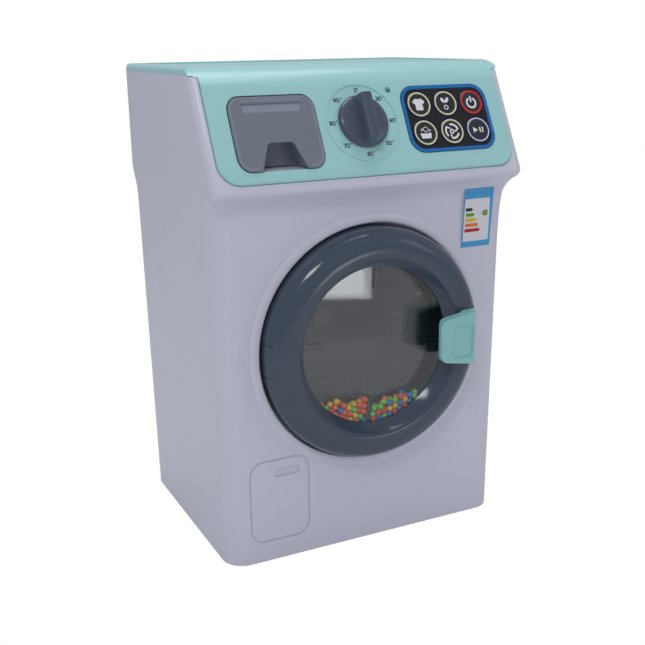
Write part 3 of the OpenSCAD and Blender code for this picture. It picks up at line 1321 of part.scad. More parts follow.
module speaker_screws() at_front() color(steel) for (s = [-1, 1])
    translate([speaker_x + s * clamp_ear, cover_y0 - clamp_post - clamp_t, speaker_z]) rotate([90, 0, 0])
        screw(screw_r - 0.42, clamp_post, 2.4, 1.2);

module speaker_clamp() at_front() color([0.25, 0.26, 0.28]) difference() {
    y1 = cover_y0 - clamp_post;
    union() {
        bar_y(speaker_d / 2 + clamp_t, y1 - clamp_t, cover_y0 - 2.4 - 0.02, speaker_x, speaker_z);
        box(speaker_x - clamp_ear - 3, speaker_x + clamp_ear + 3, y1 - clamp_t, y1, speaker_z - 3, speaker_z + 3);
    }
    bar_y(speaker_d / 2 - 2.6, 0, 200, speaker_x, speaker_z);
    for (s = [-1, 1]) bar_y(screw_r + 0.2, 0, 200, speaker_x + s * clamp_ear, speaker_z);
}

// Battery box behind the back cover, its cells and their contacts
module battery_box() at_front() color([0.8, 0.8, 0.84]) difference() {
    union() {
        box(-bay_w / 2 - box_t, bay_w / 2 + box_t, bay_y0 - box_t, cover_y0, bay_z0 - box_t, bay_z1 + box_t);
        elevation(cover_y0 - box_t, cover_y0) round_rect(-bay_door_x - 3, bay_door_x + 3, bay_door_z0 - 3, bay_door_z1 + 3, 4);
        bar_y(3.6, cover_y0 - 9, cover_y0, 0, bay_screw_z);
    }
    box(-bay_w / 2, bay_w / 2, bay_y0, cover_y0 + 1, bay_z0, bay_z1);
    bar_y(screw_r - 0.3, cover_y0 - 8, cover_y0 + 1, 0, bay_screw_z);
}

function cell_z(i) = bay_z0 + 0.7 + cell_pitch * (i + 0.5);
cell_y = bay_y0 + cell_d / 2 + 0.8;
module battery_cells() at_front() color([0.2, 0.45, 0.3]) for (i = [0:cell_count - 1])
    translate([0, cell_y, cell_z(i)]) rotate([0, i % 2 == 0 ? 90 : -90, 0]) {
        translate([0, 0, -cell_len / 2]) cylinder(r = cell_d / 2, h = cell_len - 1.4);
        translate([0, 0, cell_len / 2 - 1.4 - eps]) cylinder(r = 2.7, h = 1.4, $fn = 32);
    }

contact_t = 0.4;
contact_spring_r = 3;
module battery_contacts() at_front() color(steel) for (i = [0:cell_count - 1], s = [-1, 1]) {
    x = s * (bay_w / 2 - contact_t / 2 - press);
    spring_side = (i % 2 == 0) == (s < 0);
    reach = (bay_w - cell_len) / 2 - contact_t - press;
    translate([x, cell_y, cell_z(i)]) cube([contact_t, 9, 11], center = true);
    if (spring_side) translate([x, cell_y, cell_z(i)]) rotate([0, -90 * s, 0])
        translate([0, 0, 0.15]) coil(contact_spring_r, 0.6, reach - 0.4, 3);
    else translate([x, cell_y, cell_z(i)]) rotate([0, -90 * s, 0]) cylinder(r1 = 3, r2 = 2, h = reach - 0.1, $fn = 32);
}

module battery_door() at_front() color(white) difference() {
    elevation(cover_y0, cover_y1) round_rect(-bay_door_x, bay_door_x, bay_door_z0, bay_door_z1, 2.7);
    bar_y(screw_r + 0.3, cover_y0 - 1, cover_y1 + 1, 0, bay_screw_z);
    bar_y(3.2, cover_y1 - 1.2, cover_y1 + 1, 0, bay_screw_z);
    for (i = [-3:3]) box(i * 4 - 0.6, i * 4 + 0.6, cover_y1 - 0.8, cover_y1 + 1, bay_door_z0 + 4, bay_door_z0 + 12);
}

module battery_screw() at_front() color(steel) translate([0, cover_y1 - 1.2, bay_screw_z]) rotate([-90, 0, 0])
    screw(screw_r - 0.32, 7, 2.9, 1.1);

cabinet();
back_cover();
console_cover();
energy_label();
door_ring();
door_window();
bead_pan();
beads();
door_back_ring();
door_screws();
hinge_bracket();
bracket_screws();
hinge_pin();
door_handle();
handle_pin();
handle_spring();
drawer_front();
drawer_tray();
drawer_housing();
dial_knob();
dial_shaft();
detent_spring();
dial_switch();
status_lamp();
keypad_plate();
key_shirt();
key_leaf();
key_power();
key_basket();
key_spin();
key_play();
key_membrane();
control_board();
board_screws();
mouth_liner();
drum();
drum_shaft();
drum_gear();
shaft_bush();
gearbox_case();
gearbox_lid();
idler_gear();
idler_axle();
motor();
motor_shaft();
motor_pinion();
drive_screws();
speaker();
speaker_clamp();
speaker_screws();
battery_box();
battery_contacts();
battery_cells();
battery_door();
battery_screw();
case_screws();
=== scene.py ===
import json
import logging
import math
import random
from dataclasses import dataclass, field
from enum import Enum
from typing import Callable

import bmesh
import bpy
from mathutils import Matrix, Vector
from mathutils.geometry import delaunay_2d_cdt


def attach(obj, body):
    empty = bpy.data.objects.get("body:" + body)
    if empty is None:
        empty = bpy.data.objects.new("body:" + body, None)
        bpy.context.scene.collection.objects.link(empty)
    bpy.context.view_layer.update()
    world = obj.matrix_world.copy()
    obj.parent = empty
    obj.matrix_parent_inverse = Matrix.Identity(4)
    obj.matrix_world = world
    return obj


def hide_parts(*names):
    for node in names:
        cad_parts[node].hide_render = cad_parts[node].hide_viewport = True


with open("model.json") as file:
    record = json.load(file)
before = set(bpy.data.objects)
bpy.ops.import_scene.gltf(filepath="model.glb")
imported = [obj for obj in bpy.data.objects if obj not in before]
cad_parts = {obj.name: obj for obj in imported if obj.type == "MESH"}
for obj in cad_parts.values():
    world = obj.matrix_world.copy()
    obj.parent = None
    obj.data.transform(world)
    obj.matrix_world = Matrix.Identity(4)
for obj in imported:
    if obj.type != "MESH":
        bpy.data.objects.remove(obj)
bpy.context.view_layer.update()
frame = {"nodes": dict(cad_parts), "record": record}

MM = 0.001
FRONT_Y = -56.5
AXIS_Z = 125.0

log = logging.getLogger("washing_machine")

Point2 = tuple[float, float]
Colour = tuple[float, float, float]


def linear(red: float, green: float, blue: float) -> Colour:
    """Turns a display colour into a linear one.

    Args:
        red: Red from 0 to 255.
        green: Green from 0 to 255.
        blue: Blue from 0 to 255.

    Returns:
        The linear colour, each part from 0 to 1.
    """
    parts = [v / 255 for v in (red, green, blue)]
    return tuple(v / 12.92 if v <= 0.04045 else ((v + 0.055) / 1.055) ** 2.4 for v in parts)


class Ink(Enum):
    """Inks of the printed films and of the painted highlights, as display colours."""

    BLACK = (14, 18, 22)
    WHITE = (235, 235, 240)
    LIME = (170, 178, 40)
    RED = (205, 40, 48)
    BLUE = (0, 112, 190)
    DEEP_BLUE = (40, 90, 180)
    FOREST = (8, 58, 28)
    LEAF = (105, 160, 20)
    YELLOW = (225, 190, 20)
    ORANGE = (225, 120, 20)
    SCARLET = (185, 12, 28)
    PAPER = (226, 225, 233)
    SKY = (62, 160, 216)
    # painted highlight: pale grey for the lit raised rim and ridge of the soap drawer
    RIM_GREY = (150, 157, 174)
    SOFT_GREY = (142, 149, 166)
    # painted highlight: lighter grey for the lit rim of the dial's skirt
    KNOB_GREY = (104, 112, 130)


class BeadColour(Enum):
    """Bead colours with the share of each in the heap."""

    ORANGE = ((238, 84, 44), 0.36)
    GREEN = ((112, 205, 66), 0.27)
    BLUE = ((26, 122, 196), 0.22)
    YELLOW = ((230, 186, 48), 0.15)


class Graph:
    """A small helper round one material's node tree."""

    def __init__(self, name: str) -> None:
        """Makes the material with its output and coordinates.

        Args:
            name: Name of the material.
        """
        self.material = bpy.data.materials.new(name)
        self.material.use_nodes = True
        self.tree = self.material.node_tree
        self.tree.nodes.clear()
        self.out = self.add("ShaderNodeOutputMaterial")
        self.coords = self.add("ShaderNodeTexCoord").outputs["Object"]

    def add(self, kind: str, **sockets: object) -> bpy.types.Node:
        """Adds a node and sets its sockets.

        Args:
            kind: Type of the node.
            **sockets: Input names, with underscores for spaces, and their values or the outputs to link.

        Returns:
            The new node.
        """
        node = self.tree.nodes.new(kind)
        for key, value in sockets.items():
            socket = node.inputs[key.replace("_", " ")]
            if isinstance(value, bpy.types.NodeSocket):
                self.tree.links.new(value, socket)
            else:
                socket.default_value = value
        return node

    def noise(self, scale: float, detail: float = 2.0) -> bpy.types.NodeSocket:
        """Adds a noise over the object's coordinates.

        Args:
            scale: Scale of the noise, per metre.
            detail: Octaves of the noise.

        Returns:
            The noise's value.
        """
        node = self.add("ShaderNodeTexNoise", Vector=self.coords, Scale=scale, Detail=detail)
        return node.outputs[0]

    def spread(self, value: bpy.types.NodeSocket, low: float, high: float) -> bpy.types.NodeSocket:
        """Spreads a noise value over a range.

        Args:
            value: The noise's value.
            low: Lowest result.
            high: Highest result.

        Returns:
            The spread value.
        """
        node = self.add("ShaderNodeMapRange")
        self.tree.links.new(value, node.inputs["Value"])
        node.inputs["From Min"].default_value = 0.3
        node.inputs["From Max"].default_value = 0.7
        node.inputs["To Min"].default_value = low
        node.inputs["To Max"].default_value = high
        return node.outputs["Result"]


@dataclass(frozen=True)
class Finish:
    """A moulded or metal surface with fine grain, uneven gloss and softly worn edges."""

    name: str
    colour: Colour
    roughness: float = 0.3
    metal: float = 0.0
    grain: float = 0.02
    grain_scale: float = 900.0
    edge_mm: float = 0.3
    edge_tint: float = 1.12
    specular: float = 0.5

    def material(self) -> bpy.types.Material:
        """Builds the material once and returns it.

        Returns:
            The finished material.
        """
        found = bpy.data.materials.get(self.name)
        if found:
            return found
        g = Graph(self.name)
        mottle = g.add("ShaderNodeMixRGB")
        mottle.inputs["Color1"].default_value = (*[c * 0.992 for c in self.colour], 1)
        mottle.inputs["Color2"].default_value = (*[min(1.0, c * 1.008) for c in self.colour], 1)
        g.tree.links.new(g.noise(40), mottle.inputs["Fac"])
        colour = mottle.outputs[0]
        bump = g.add("ShaderNodeBump", Strength=self.grain, Distance=0.2 * MM)
        g.tree.links.new(g.noise(self.grain_scale, 3), bump.inputs["Height"])
        if self.edge_mm > 0:
            bevel = g.add("ShaderNodeBevel", Radius=self.edge_mm * MM)
            bevel.samples = 6
            g.tree.links.new(bevel.outputs[0], bump.inputs["Normal"])
            colour = self.worn(g, colour, bevel.outputs[0])
        rough = g.spread(g.noise(120, 3), self.roughness * 0.94, self.roughness * 1.06)
        shader = g.add(
            "ShaderNodeBsdfPrincipled",
            Base_Color=colour,
            Roughness=rough,
            Normal=bump.outputs[0],
            Metallic=self.metal,
            Specular_IOR_Level=self.specular,
        )
        g.tree.links.new(shader.outputs[0], g.out.inputs["Surface"])
        return g.material

    def worn(self, g: Graph, colour: bpy.types.NodeSocket, round_normal: bpy.types.NodeSocket) -> bpy.types.NodeSocket:
        """Lightens the colour along the edges.

        Args:
            g: The material's helper.
            colour: The colour without wear.
            round_normal: The normal with rounded edges.

        Returns:
            The colour with lighter edges.
        """
        normal = g.add("ShaderNodeNewGeometry").outputs["Normal"]
        flat = g.add("ShaderNodeVectorMath")
        flat.operation = "DOT_PRODUCT"
        g.tree.links.new(round_normal, flat.inputs[0])
        g.tree.links.new(normal, flat.inputs[1])
        edge = g.add("ShaderNodeMapRange")
        g.tree.links.new(flat.outputs["Value"], edge.inputs["Value"])
        edge.inputs["From Min"].default_value = 0.97
        edge.inputs["From Max"].default_value = 0.7
        edge.inputs["To Min"].default_value = 0.0
        edge.inputs["To Max"].default_value = 0.5
        mix = g.add("ShaderNodeMixRGB")
        mix.inputs["Color2"].default_value = (*[min(1.0, c * self.edge_tint + 0.01) for c in self.colour], 1)
        g.tree.links.new(edge.outputs["Result"], mix.inputs["Fac"])
        g.tree.links.new(colour, mix.inputs["Color1"])
        return mix.outputs[0]


@dataclass(frozen=True)
class Clear:
    """Clear moulded plastic that lets lamps through to what it shuts in."""

    name: str
    colour: Colour = (0.93, 0.96, 0.98)
    roughness: float = 0.02
    ior: float = 1.49
    passed: float = 0.9

    def material(self) -> bpy.types.Material:
        """Builds the material once and returns it.

        Returns:
            The finished material.
        """
        found = bpy.data.materials.get(self.name)
        if found:
            return found
        g = Graph(self.name)
        bump = g.add("ShaderNodeBump", Strength=0.02, Distance=0.1 * MM)
        g.tree.links.new(g.noise(60, 2), bump.inputs["Height"])
        rough = g.spread(g.noise(150, 3), self.roughness * 0.5, self.roughness * 2)
        glass = g.add(
            "ShaderNodeBsdfPrincipled",
            Base_Color=(*self.colour, 1),
            Roughness=rough,
            Normal=bump.outputs[0],
            IOR=self.ior,
            Transmission_Weight=1.0,
        )
        through = g.add("ShaderNodeBsdfTransparent", Color=(self.passed, self.passed, self.passed, 1))
        mix = g.add("ShaderNodeMixShader")
        path = g.add("ShaderNodeLightPath")
        g.tree.links.new(path.outputs["Is Shadow Ray"], mix.inputs[0])
        g.tree.links.new(glass.outputs[0], mix.inputs[1])
        g.tree.links.new(through.outputs[0], mix.inputs[2])
        g.tree.links.new(mix.outputs[0], g.out.inputs["Surface"])
        return g.material


WHITE = Finish("white_moulding", linear(214, 215, 230), roughness=0.34, edge_mm=0, grain=0.006, grain_scale=2500.0)
MINT = Finish("mint_moulding", linear(166, 218, 219), roughness=0.24, edge_mm=0)
HANDLE = Finish("handle_moulding", linear(146, 206, 206), roughness=0.28)
SLATE = Finish("slate_moulding", linear(68, 80, 96), roughness=0.13, edge_mm=0, grain=0.008)
SMOKE = Finish("smoke_moulding", linear(122, 128, 141), roughness=0.18)
KNOB = Finish("knob_moulding", linear(76, 86, 102), roughness=0.2)
DARK = Finish("dark_moulding", linear(44, 50, 58), roughness=0.45)
DRUM = Finish("drum_moulding", linear(54, 56, 65), roughness=0.3)
PALE = Finish("pale_moulding", linear(222, 224, 232), roughness=0.4)
PLATE = Finish("keypad_film", linear(18, 20, 26), roughness=0.2)
KEY = Finish("key_moulding", linear(40, 42, 50), roughness=0.22)
STEEL = Finish("zinc_steel", linear(196, 198, 204), roughness=0.32, metal=1.0)
CAN = Finish("motor_can", linear(186, 188, 192), roughness=0.25, metal=1.0)
BRASS = Finish("sintered_bronze", linear(190, 150, 90), roughness=0.4, metal=1.0)
RUBBER = Finish("silicone", linear(178, 182, 186), roughness=0.6)
BOARD = Finish("circuit_board", linear(26, 96, 56), roughness=0.35)
GEAR = Finish("acetal", linear(232, 230, 218), roughness=0.4)
JACKET = Finish("cell_sleeve", linear(36, 104, 66), roughness=0.25)
LAMP = Finish("lamp_lens", linear(58, 150, 142), roughness=0.15)
CLEAR = Clear("clear_styrene")

SLOT_FINISH: dict[str, object] = {
    "white_plastic": WHITE,
    "mint_plastic": MINT,
    "handle_plastic": HANDLE,
    "slate_plastic": SLATE,
    "smoke_plastic": SMOKE,
    "clear_plastic": CLEAR,
    "bead_plastic": Finish("bead_orange", linear(238, 84, 44)),
    "steel": STEEL,
    "dark_plastic": DARK,
    "drum_plastic": DRUM,
    "pale_plastic": PALE,
    "label_film": Finish("label_paper", linear(*Ink.PAPER.value), roughness=0.3),
    "lamp_plastic": LAMP,
    "black_plastic": PLATE,
    "key_plastic": KEY,
    "grey_rubber": RUBBER,
    "board_green": BOARD,
    "gear_plastic": GEAR,
    "bush_brass": BRASS,
    "motor_steel": CAN,
    "cell_jacket": JACKET,
}


def ink_finish(ink: Ink) -> Finish:
    """The finish of a printed ink, also used for the painted highlights.

    Args:
        ink: The ink.

    Returns:
        A satin film of that colour.
    """
    return Finish("ink_" + ink.name.lower(), linear(*ink.value), roughness=0.3, edge_mm=0.05, grain=0.01)


def give(obj: bpy.types.Object, *finishes: object) -> None:
    """Gives an object its finishes, one per material slot.

    Args:
        obj: The mesh object.
        *finishes: Finishes in slot order.
    """
    slots = obj.data.materials
    for i, finish in enumerate(finishes):
        if i < len(slots):
            slots[i] = finish.material()
        else:
            slots.append(finish.material())


def smooth(obj: bpy.types.Object, degrees: float = 32.0) -> None:
    """Shades an object smooth except across edges sharper than an angle.

    Args:
        obj: The mesh object.
        degrees: Angle above which an edge stays sharp.
    """
    weld = obj.modifiers.new("weld", "WELD")
    weld.merge_threshold = 1e-6
    group = bpy.data.node_groups.get("smooth_by_angle_%d" % degrees)
    if group is None:
        group = bpy.data.node_groups.new("smooth_by_angle_%d" % degrees, "GeometryNodeTree")
        group.interface.new_socket("Geometry", in_out="INPUT", socket_type="NodeSocketGeometry")
        group.interface.new_socket("Geometry", in_out="OUTPUT", socket_type="NodeSocketGeometry")
        start = group.nodes.new("NodeGroupInput")
        end = group.nodes.new("NodeGroupOutput")
        faces = group.nodes.new("GeometryNodeSetShadeSmooth")
        faces.domain = "FACE"
        edges = group.nodes.new("GeometryNodeSetShadeSmooth")
        edges.domain = "EDGE"
        angle = group.nodes.new("GeometryNodeInputMeshEdgeAngle")
        below = group.nodes.new("FunctionNodeCompare")
        below.operation = "LESS_THAN"
        below.inputs[1].default_value = math.radians(degrees)
        group.links.new(start.outputs[0], faces.inputs["Geometry"])
        group.links.new(faces.outputs[0], edges.inputs["Geometry"])
        group.links.new(angle.outputs[0], below.inputs[0])
        group.links.new(below.outputs[0], edges.inputs["Shade Smooth"])
        group.links.new(edges.outputs[0], end.inputs[0])
    modifier = obj.modifiers.new("smooth", "NODES")
    modifier.node_group = group


def mesh_object(name: str, verts: list, faces: list, body: str) -> bpy.types.Object:
    """Makes a mesh piece that rides on a body.

    Args:
        name: Name of the piece.
        verts: Points in metres.
        faces: Faces as lists of indices.
        body: The body it rides on.

    Returns:
        The new object.
    """
    mesh = bpy.data.meshes.new(name)
    mesh.from_pydata([tuple(v) for v in verts], [], faces)
    mesh.validate()
    obj = bpy.data.objects.new(name, mesh)
    bpy.context.scene.collection.objects.link(obj)
    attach(obj, body)
    return obj


@dataclass(frozen=True)
class Plane:
    """A working plane in the row frame, in millimetres."""

    origin: Vector
    across: Vector
    up: Vector
    out: Vector

    def point(self, u: float, v: float, n: float = 0.0) -> Vector:
        """A point on the plane.

        Args:
            u: Distance across.
            v: Distance up.
            n: Distance out of the plane.

        Returns:
            The point in metres.
        """
        return (self.origin + self.across * u + self.up * v + self.out * n) * MM


TILT = math.radians(27.5)
FASCIA = Plane(
    Vector((0, -67.715, 222.353)),
    Vector((1, 0, 0)),
    Vector((0, math.sin(TILT), math.cos(TILT))),
    Vector((0, -math.cos(TILT), math.sin(TILT))),
)


@dataclass
class Artwork:
    """Printed shapes and painted highlights laid on a surface."""

    name: str
    surface: Callable[[float, float, float], Vector]
    body: str
    shapes: list = field(default_factory=list)

    def add(self, ink: Ink, level: int, *outlines: list[Point2]) -> None:
        """Adds filled outlines of one ink.

        Args:
            ink: The ink.
            level: Layer, higher ones lie on top.
            *outlines: Closed outlines in surface coordinates.
        """
        self.shapes.append((ink, level, outlines))

    def build(self, lift: float = 0.04, cell: float = 1.5) -> bpy.types.Object:
        """Builds one mesh with all the inks.

        Args:
            lift: Height of one layer above the one below, in millimetres.
            cell: Spacing of the extra points that let the print follow a curve.

        Returns:
            The printed piece.
        """
        verts, faces, inks, slots = [], [], [], []
        for ink, level, outlines in self.shapes:
            flat, rings = [], []
            for outline in outlines:
                rings.append(list(range(len(flat), len(flat) + len(outline))))
                flat += [Vector(p) for p in outline]
            xs, ys = [p[0] for p in flat], [p[1] for p in flat]
            grid_x = int((max(xs) - min(xs)) / cell)
            grid_y = int((max(ys) - min(ys)) / cell)
            for i in range(1, grid_x):
                for j in range(1, grid_y):
                    flat.append(Vector((min(xs) + (max(xs) - min(xs)) * i / grid_x,
                                        min(ys) + (max(ys) - min(ys)) * j / grid_y)))
            points, _, triangles, _, _, sources = delaunay_2d_cdt(flat, [], rings, 1, 1e-5)
            triangles = [t for t, source in zip(triangles, sources) if source]
            start = len(verts)
            verts += [self.surface(p[0], p[1], lift * (level + 1)) for p in points]
            faces += [[start + i for i in t] for t in triangles]
            if ink not in slots:
                slots.append(ink)
            inks += [slots.index(ink)] * len(triangles)
        obj = mesh_object(self.name, verts, faces, self.body)
        give(obj, *[ink_finish(ink) for ink in slots])
        for face, slot in zip(obj.data.polygons, inks):
            face.material_index = slot
            face.use_smooth = True
        return obj


def circle(cx: float, cy: float, r: float, n: int = 48, start: float = 0.0, end: float = 360.0) -> list[Point2]:
    """Points round a circle or along an arc.

    Args:
        cx: Centre across.
        cy: Centre up.
        r: Radius.
        n: Number of points.
        start: First angle in degrees.
        end: Last angle in degrees.

    Returns:
        The points.
    """
    full = abs(end - start) >= 360
    steps = n if full else n - 1
    angles = [math.radians(start + (end - start) * i / steps) for i in range(n)]
    return [(cx + r * math.cos(a), cy + r * math.sin(a)) for a in angles]


def round_rect(x0: float, x1: float, y0: float, y1: float, r: float, n: int = 10) -> list[Point2]:
    """A rectangle with round corners.

    Args:
        x0: Left.
        x1: Right.
        y0: Bottom.
        y1: Top.
        r: Corner radius.
        n: Points per corner.

    Returns:
        The outline, counter-clockwise.
    """
    out = []
    for cx, cy, a in ((x1 - r, y0 + r, -90), (x1 - r, y1 - r, 0), (x0 + r, y1 - r, 90), (x0 + r, y0 + r, 180)):
        out += circle(cx, cy, r, n, a, a + 90)
    return out


def stroke(points: list[Point2], width: float) -> list[list[Point2]]:
    """A line drawn with a round pen.

    Args:
        points: Points along the line.
        width: Width of the pen.

    Returns:
        Outlines that together cover the line.
    """
    out = []
    for (x0, y0), (x1, y1) in zip(points, points[1:]):
        length = math.hypot(x1 - x0, y1 - y0) or 1e-9
        nx, ny = -(y1 - y0) / length * width / 2, (x1 - x0) / length * width / 2
        out.append([(x0 - nx, y0 - ny), (x1 - nx, y1 - ny), (x1 + nx, y1 + ny), (x0 + nx, y0 + ny)])
    out += [circle(x, y, width / 2, 12) for x, y in points]
    return out


def band(outer: list[Point2], inner: list[Point2]) -> list[list[Point2]]:
    """The strip between two outlines with the same number of points.

    Args:
        outer: Outer outline.
        inner: Inner outline.

    Returns:
        Outlines that together cover the strip.
    """
    n = len(outer)
    return [[outer[i], outer[(i + 1) % n], inner[(i + 1) % n], inner[i]] for i in range(n)]


DIGITS: dict[str, list[list[Point2]]] = {
    "0": [circle(0.5, 1.0, 0.5, 9, 180, 0) + circle(0.5, 0.5, 0.5, 9, 0, -180) + [(0.0, 1.0)]],
    "3": [[(0.05, 1.4), (0.5, 1.5), (0.9, 1.25), (0.85, 0.9), (0.45, 0.78), (0.9, 0.6), (0.95, 0.25),
           (0.5, 0.0), (0.05, 0.12)]],
    "4": [[(0.72, 0.0), (0.72, 1.5), (0.0, 0.45), (1.0, 0.45)]],
    "5": [[(0.9, 1.5), (0.15, 1.5), (0.1, 0.85), (0.5, 0.95), (0.95, 0.7), (0.95, 0.25), (0.5, 0.0), (0.05, 0.1)]],
    "6": [[(0.85, 1.5), (0.3, 1.2), (0.05, 0.6), (0.1, 0.2), (0.5, 0.0), (0.9, 0.2), (0.95, 0.6), (0.55, 0.85),
           (0.1, 0.6)]],
    "7": [[(0.0, 1.5), (1.0, 1.5), (0.4, 0.0)]],
    "8": [[(0.5, 0.8), (0.1, 1.05), (0.15, 1.4), (0.5, 1.5), (0.85, 1.4), (0.9, 1.05), (0.5, 0.8), (0.05, 0.5),
           (0.1, 0.1), (0.5, 0.0), (0.9, 0.1), (0.95, 0.5), (0.5, 0.8)]],
    "9": [[(0.15, 0.0), (0.7, 0.3), (0.95, 0.9), (0.9, 1.3), (0.5, 1.5), (0.1, 1.3), (0.05, 0.9), (0.45, 0.65),
           (0.9, 0.9)]],
}


def number(text: str, cx: float, cy: float, height: float, pen: float) -> list[list[Point2]]:
    """A plain number drawn with a round pen.

    Args:
        text: Its digits.
        cx: Middle across.
        cy: Middle up.
        height: Height of a digit.
        pen: Width of the pen.

    Returns:
        Outlines that together cover the number.
    """
    k = height / 1.5
    pitch = 1.35 * k
    x = cx - (pitch * len(text) - 0.35 * k) / 2
    out = []
    for digit in text:
        for line in DIGITS[digit]:
            out += stroke([(x + px * k, cy - height / 2 + py * k) for px, py in line], pen)
        x += pitch
    return out


@dataclass
class SoapDrawer:
    """The soap drawer front's painted highlights along its raised rim and top ridge, and its paler label field."""

    x0: float = -79.2
    x1: float = -30.0
    v0: float = 6.6
    v1: float = 47.6
    corner: float = 7.0
    inset: float = 1.3
    pocket: tuple = (-67.6, -40.2)
    proud: float = 0.6
    label_depth: float = 0.5

    def build(self) -> None:
        """Draws the painted highlights along the rim and the ridge, and the paler label field."""
        d = self.inset
        rim = round_rect(self.x0 + d, self.x1 - d, self.v0 + d, self.v1 - d, self.corner - d)
        low = self.v0 + d
        line = [(self.pocket[1] + 1, low)] + rim + [(self.pocket[0] - 1, low)]
        art = Artwork("drawer_painted_highlights", lambda u, v, n: FASCIA.point(u, v, self.proud + n), "drawer")
        # painted highlight: light lines along the raised rim and the top ridge, where these catch the light
        art.add(Ink.RIM_GREY, 0, *stroke(line, 0.35))
        art.add(Ink.RIM_GREY, 1, *stroke([(-71.5, 45.0), (-37.9, 45.0)], 0.45))
        art.build()
        field_art = Artwork(
            "drawer_label_field", lambda u, v, n: FASCIA.point(u, v, self.proud - self.label_depth + n), "drawer")
        field_art.add(Ink.SOFT_GREY, 0, round_rect(-71.2, -38.2, 38.5, 42.9, 0.5, 4))
        field_art.build()
        log.info("drawer lines drawn")


@dataclass
class Knob:
    """The painted highlight, a light line round the rim of the dial's skirt."""

    u: float = -3.0
    v: float = 30.5
    outer: float = 13.45
    inner: float = 13.15
    height: float = 3.2

    def build(self) -> None:
        """Draws the painted highlight."""
        # painted highlight: thin light ring along the edge of the knob's skirt
        art = Artwork("dial_rim_painted_highlight", lambda x, y, n: FASCIA.point(self.u + x, self.v + y, self.height + n), "dial")
        art.add(Ink.KNOB_GREY, 0, *band(circle(0, 0, self.outer, 96), circle(0, 0, self.inner, 96)))
        art.build()
        log.info("dial line drawn")


@dataclass
class Console:
    """The dial's numbers printed on the mint console."""

    dial_u: float = -3.0
    dial_v: float = 30.5
    number_r: float = 18.4
    numbers: tuple = ("0", "30", "40", "50", "60", "70", "80", "90")

    def build(self) -> None:
        """Prints the numbers round the dial."""
        art = Artwork("dial_numbers", FASCIA.point, "cabinet_body")
        for i, text in enumerate(self.numbers):
            a = math.radians(90 - 45 * i)
            u = self.dial_u + self.number_r * math.cos(a)
            v = self.dial_v + self.number_r * math.sin(a)
            art.add(Ink.BLACK, 0, *number(text, u, v, 2.1, 0.5))
            art.add(Ink.BLACK, 0, *band(circle(u + 1.55 * len(text) - 0.2, v + 1.0, 0.5, 12),
                                        circle(u + 1.55 * len(text) - 0.2, v + 1.0, 0.22, 12)))
        art.build()
        log.info("dial numbers printed")


